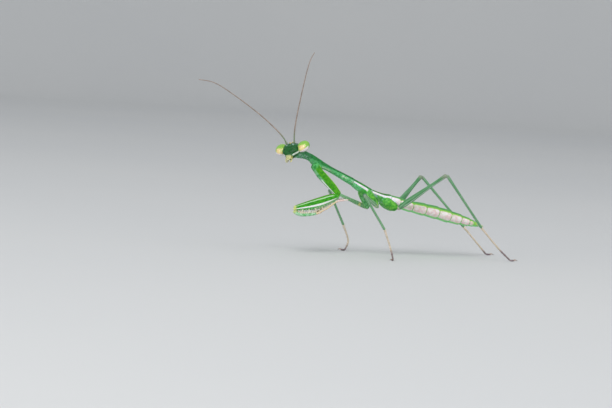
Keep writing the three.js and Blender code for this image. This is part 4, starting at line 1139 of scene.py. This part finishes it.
# The root joints end here; close corners shape them, and wider ones the thread.
FEELER_ROOT, ROOT_STEP, THREAD_STEP = 1.6, 0.04, 0.105
FEELER_COLOURS = {"thread": (tint(150, 132, 120), tint(178, 160, 148)), "root": tint(140, 158, 128),
                  "ring": tint(104, 92, 86)}
thread_skin = Finish("feeler cuticle", **CUTICLE_GLOSS)
turns = thread_skin.along * (2 * math.pi / FEELER_JOINT)
rings, blotch = turns.math("SINE", turns), thread_skin.noise(1.2, 2)
colour = thread_skin.along.rise(4.0, 1.2).mix(blotch.blend(0.3, 0.7, FEELER_COLOURS["thread"]),
                                              FEELER_COLOURS["root"])
colour = (rings.rise(0.6, 1.0) * 0.4).mix(colour, FEELER_COLOURS["ring"])
thread_skin.coat(colour, blotch.rise(0, 1, 0.45, 0.6), rings + thread_skin.noise(0.05, 3), 0.01)
for name, side in (("left", 1), ("right", -1)):
    root = in_head(side * ANTENNA_ROOT["out"], ANTENNA_ROOT["front"], ANTENNA_ROOT["up"])
    course = Course([root, *ANTENNA_COURSE[name]])
    end = course.length
    distances = np.unique(np.concatenate((
        np.arange(0, FEELER_ROOT, ROOT_STEP), np.arange(FEELER_ROOT, end - 0.05, THREAD_STEP),
        [end - 0.04, end - 0.01])))
    girth = np.interp(distances, [0, 0.06, 0.5, 0.62, 0.66, 0.9, 1.02, 1.06, 1.5, 12, end - 0.1, end],
                      [0.14, 0.2, 0.23, 0.19, 0.15, 0.17, 0.16, 0.14, 0.145, 0.115, 0.08, 0.02])
    swell = FEELER_SWELL * np.cos((distances - 1.06) * 2 * math.pi / FEELER_JOINT) * (distances > 1.06)
    girth = girth + swell * np.interp(distances, [0, end - 1, end], [1, 1, 0])
    thread = loft(course, distances, even(girth), 12)
    feeler = mesh_object(f"feeler_{name}", thread["points"], thread["faces"], thread_skin.material,
                         {"Lay": thread["lay"]})
    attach(feeler, "root")
    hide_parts(f"antenna_{name}")

# ---------- The spines of the grasping legs ----------
# Hard, slightly curved thorns, cream with dark points, in two rows along the thigh and the shank.
# Each shank ends in a long hook.
THIGH_ROWS = {
    "inner": {"count": 13, "from": 0.2, "to": 0.92, "lengths": [0.36, 0.6], "offset": -0.26},
    "outer": {"count": 4, "from": 0.42, "to": 0.84, "lengths": [0.76], "offset": 0.28},
    "pads": {"count": 4, "from": 0.23, "to": 0.37, "lengths": [0.5, 0.7], "offset": 0},
}
SHANK_ROWS = {
    "inner": {"count": 11, "from": 0.22, "to": 0.95, "lengths": [0.36, 0.44], "offset": -0.16},
    "outer": {"count": 9, "from": 0.28, "to": 0.93, "lengths": [0.4, 0.5], "offset": 0.16},
}
THORN = {"half": 0.085, "bow": 0.04, "lean": 0.18, "splay": 0.8}
# A thorn starts at this share of the leg's depth and is longer where the leg is deeper.
THORN_ROOT, THORN_BURIED = 0.78, 0.22
HOOK_GIRTH = ([0, 0.2, 0.6, 0.85, 1], [0.24, 0.24, 0.17, 0.1, 0.01])
spine_finish = small_finish("spine cuticle", 0.15, (tint(230, 222, 186), tint(244, 226, 214)), (0.24, 0.36),
                            0.006, point=(tint(84, 40, 28), (0.75, 0.95)), IOR=1.5)


def thorn(root, direction, length, half, bow=0, steps=7):
    """A pointed thorn. Its lay runs from 0 at the root to 1 at the point."""
    t = np.linspace(0, 1, steps)
    course = Course([root, root + direction * length / 2 + bow, root + direction * length], (0.31, 0.93, 0.2))
    form = loft(course, t * course.length, even(half * (1 - t) ** 0.75 + 0.006), 9)
    form["lay"] = form["lay"] / [1, course.length]
    return form


for name, leg in grasping.items():
    outward = leg["outward"]
    for part, table, rows, belly_way in (("femur", FORE_FEMUR["down"], THIGH_ROWS, -1),
                                         ("tibia", FORE_TIBIA["up"], SHANK_ROWS, 1)):
        course, thorns = leg["courses"][part], []
        for row in rows.values():
            for i in range(row["count"]):
                t = row["from"] + (row["to"] - row["from"]) * i / (row["count"] - 1)
                place_here, tangent, side, upward = (vector[0] for vector in course.at(t * course.length))
                belly = upward * belly_way
                depth = float(spread(table, np.array([t]))[0])
                root = place_here + belly * depth * THORN_ROOT + outward * row["offset"]
                lean = belly + outward * row["offset"] * THORN["splay"] + tangent * THORN["lean"]
                lean /= np.linalg.norm(lean)
                length = row["lengths"][i % len(row["lengths"])] + depth * THORN_BURIED
                thorns.append(thorn(root, lean, length, THORN["half"], -tangent * THORN["bow"]))
        if part == "tibia":
            hook = leg["courses"]["hook"]
            t = np.linspace(0, 1, 22)
            form = loft(hook, t * hook.length, even(np.interp(t, *HOOK_GIRTH)), 16)
            form["lay"] = form["lay"] / [1, hook.length]
            thorns.append(form)
        merged(f"{name}_{part}_spines", thorns, [spine_finish] * len(thorns))

# ---------- The claws ----------
# Each walking foot ends in two curved claws of hard cuticle, amber with dark points.
# The grasping feet have two smaller ones.
CLAW = {"length": 0.75, "splay": 0.26, "lift": 0.04, "half": 0.11, "buried": 0.13, "apart": 0.05,
        "drop": 0.06, "bow": 0.14}
SMALL_CLAW = {"length": 0.5, "splay": 0.4, "half": 0.07, "buried": 0.1, "bow": 0.06}
horn = small_finish("claw", 0.1, (tint(150, 112, 84), tint(176, 140, 112)), (0.24, 0.36), 0.006,
                    point=(tint(48, 28, 24), (0.4, 0.9)), IOR=1.5)
for name, leg in walking.items():
    heading, tip = leg["heading"], leg["tip"]
    aside = np.cross([0, 0, 1], heading)
    root = tip - heading * CLAW["buried"] + np.array([0, 0, CLAW["lift"]])
    claws = []
    for out in (-1, 1):
        point = tip + heading * CLAW["length"] + aside * out * CLAW["splay"] - [0, 0, CLAW["drop"]]
        length = np.linalg.norm(point - root)
        claws.append(thorn(root + aside * out * CLAW["apart"], (point - root) / length, length, CLAW["half"],
                           np.array([0, 0, CLAW["bow"]]), 12))
    merged(f"{name}_claws", claws, [horn] * 2)
for name, leg in grasping.items():
    course = leg["courses"]["tarsus"]
    near_end = course.length - SMALL_CLAW["buried"]
    place_here, tangent, side, upward = (vector[0] for vector in course.at(near_end))
    claws = []
    for out in (-1, 1):
        lean = tangent + out * leg["outward"] * SMALL_CLAW["splay"]
        claws.append(thorn(place_here, lean / np.linalg.norm(lean), SMALL_CLAW["length"], SMALL_CLAW["half"],
                           upward * SMALL_CLAW["bow"], 10))
    merged(f"{name}_claws", claws, [horn] * 2)

# ---------- The hairs and spurs of the walking legs ----------
# Short stiff hairs lean toward the foot along each shank and foot, in rings of five that stand staggered.
# Two hard spurs stand at each ankle.
HAIRS = {
    "tibia": {"girth": 0.24, "length": 0.3, "spacing": 0.34},
    "tarsus": {"girth": 0.17, "length": 0.2, "spacing": 0.26},
}
HAIR = {"per_ring": 5, "first": 0.5, "last": 0.35, "half": 0.016, "bow": 0.02, "away": 0.62, "onward": 0.78}
# Each hair's OFBake unwrap lies on a small patch of the skin's unwrap at its root.
PATCH = 0.003
SPUR = {"length": 0.5, "half": 0.06, "before_ankle": 0.15, "out": 0.16}
hair_finish = small_finish("leg hair", 0.3, (tint(150, 150, 116), tint(190, 180, 150)), (0.4, 0.55), 0.002,
                           IOR=1.5)


def on_unwrap(name, share, distance):
    """The place of a point of a form on the skin's unwrap."""
    index = next(i for i, form in enumerate(flesh) if form[0] == name)
    around, along = share * rectangles[index][0], distance - flesh[index][1]["along"][0]
    return (np.array(corners[index]) + [around, along]) / unwrap_side


rng = np.random.default_rng(7)
for name, leg in walking.items():
    hairs, patches = [], []
    for part, row in HAIRS.items():
        course = leg["courses"][part]
        ring_places = np.arange(HAIR["first"], course.length - HAIR["last"], row["spacing"])
        for number, distance in enumerate(ring_places):
            place_here, tangent, side, upward = (vector[0] for vector in course.at(distance))
            for place_in_ring in range(HAIR["per_ring"]):
                share = (place_in_ring + 0.5 * (number % 2)) / HAIR["per_ring"]
                share = (share + rng.uniform(-0.05, 0.05)) % 1
                turn = share * 2 * math.pi
                away = side * math.cos(turn) + upward * math.sin(turn)
                lean = away * HAIR["away"] + tangent * HAIR["onward"] + rng.normal(0, 0.08, 3)
                hair = thorn(place_here + away * row["girth"] * 0.7, lean / np.linalg.norm(lean),
                             row["length"] * rng.uniform(0.8, 1.2), HAIR["half"], tangent * HAIR["bow"], 4)
                hairs.append(hair)
                patches.append(on_unwrap(f"{name}_{part}", share, distance) + PATCH * (hair["lay"] - 0.5))
    coat = merged(f"{name}_hairs", hairs, [hair_finish] * len(hairs))
    coat.data.uv_layers.new(name="OFBake").data.foreach_set("uv", np.concatenate(patches).ravel())
    shank = leg["courses"]["tibia"]
    ankle, tangent, side, upward = (vector[0] for vector in shank.at(shank.length - SPUR["before_ankle"]))
    spurs = []
    for out in (-1, 1):
        lean = tangent * 0.8 + side * out * 0.55 - upward * 0.2
        spurs.append(thorn(ankle + side * out * SPUR["out"], lean / np.linalg.norm(lean), SPUR["length"],
                           SPUR["half"], 0, 8))
    merged(f"{name}_spurs", spurs, [spine_finish] * 2)

# ---------- The tail feelers ----------
# Two short tapering feelers of soft cuticle, of about eight joints, one on each side of the last rings.
# Their roots are sunk into the body under the last plate.
CERCUS = {"root_ahead": 1.1, "root_out": 0.5, "tip_behind": 0.55, "tip_out": 0.98}
CERCUS_SIZES, CERCUS_JOINTS = [0.2, 0.22, 0.2, 0.16, 0.09], [0.13, 0.26, 0.39, 0.52, 0.65, 0.78, 0.9]
tail_finish = small_finish("tail feeler cuticle", 0.25, (tint(150, 188, 118), tint(206, 206, 160)),
                           (0.4, 0.54), 0.01, 0.05, **CUTICLE_GLOSS)
for name, side in (("cercus_left", -1), ("cercus_right", 1)):
    ends = []
    for behind, out in ((-CERCUS["root_ahead"], CERCUS["root_out"]),
                        (CERCUS["tip_behind"], CERCUS["tip_out"])):
        point = trunk_course.at(TRUNK_END + behind)[0][0]
        ends.append([point[0], side * out, point[2]])
    form = thread_form(ends, CERCUS_SIZES, 16, 0.03, CERCUS_JOINTS, 0.012)
    cercus = mesh_object(name + "_fine", form["points"], form["faces"], tail_finish, {"Lay": form["lay"]})
    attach(cercus, "root")
    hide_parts(name)

# ---------- The floor and the light ----------
# A wide pale floor of plain plaster that curves up all round, without a pattern.
# Soft light comes from three panels and an even sky.
FLOOR = {"radius": 900, "curve": 260, "wall": 420, "around": 96, "bends": 17}
PLASTER = (tint(206, 207, 208), tint(213, 213, 212))
SKY_COLOUR, SKY_STRENGTH = (0.92, 0.96, 1, 1), 0.55
PANELS = {
    "key": {"toward": (-380, -580, 720), "size": 520, "power": 4.7},
    "fill": {"toward": (660, -520, 340), "size": 560, "power": 1.2},
    "front": {"toward": (-640, -220, 260), "size": 460, "power": 1.2},
}
profile = [(FLOOR["radius"] * share, 0) for share in (0.02, 0.1, 0.3, 0.6, 0.85, 1)]
profile += [(FLOOR["radius"] + FLOOR["curve"] * math.sin(turn), FLOOR["curve"] * (1 - math.cos(turn)))
            for turn in np.linspace(0, math.pi / 2, FLOOR["bends"])[1:]]
profile.append((FLOOR["radius"] + FLOOR["curve"], FLOOR["wall"]))
count = FLOOR["around"]
turns = np.linspace(0, 2 * math.pi, count, endpoint=False)
floor_points = [[r * math.cos(t), r * math.sin(t), z] for r, z in profile for t in turns] + [[0, 0, 0]]
floor_faces = [[low + i, low + (i + 1) % count, low + count + (i + 1) % count, low + count + i]
               for low in range(0, (len(profile) - 1) * count, count) for i in range(count)]
floor_faces += [[len(floor_points) - 1, (i + 1) % count, i] for i in range(count)]
plaster = Finish("plain plaster")
soft_patch = plaster.place.node("ShaderNodeTexNoise", None,
                                {"Vector": plaster.place, "Scale": 6.0, "Detail": 2.0})
plaster.coat(soft_patch.mix(*PLASTER), soft_patch.rise(0, 1, 0.85, 0.95), soft_patch, 0.01)
floor = mesh_object("floor", floor_points, floor_faces, plaster.material)
world = bpy.data.worlds.new("studio sky")
bpy.context.scene.world = world
world.use_nodes = True
sky = world.node_tree.nodes["Background"]
sky.inputs["Color"].default_value, sky.inputs["Strength"].default_value = SKY_COLOUR, SKY_STRENGTH
for name, light in PANELS.items():
    panel = bpy.data.objects.new(name, bpy.data.lights.new(name, "AREA"))
    panel.data.energy, panel.data.size = light["power"], light["size"] * MM
    panel.location = aim + Vector(light["toward"]) * MM
    panel.rotation_euler = Vector(light["toward"]).to_track_quat("Z", "Y").to_euler()
    panel.visible_camera = False
    bpy.context.scene.collection.objects.link(panel)
bpy.context.scene.view_settings.view_transform = "Standard"
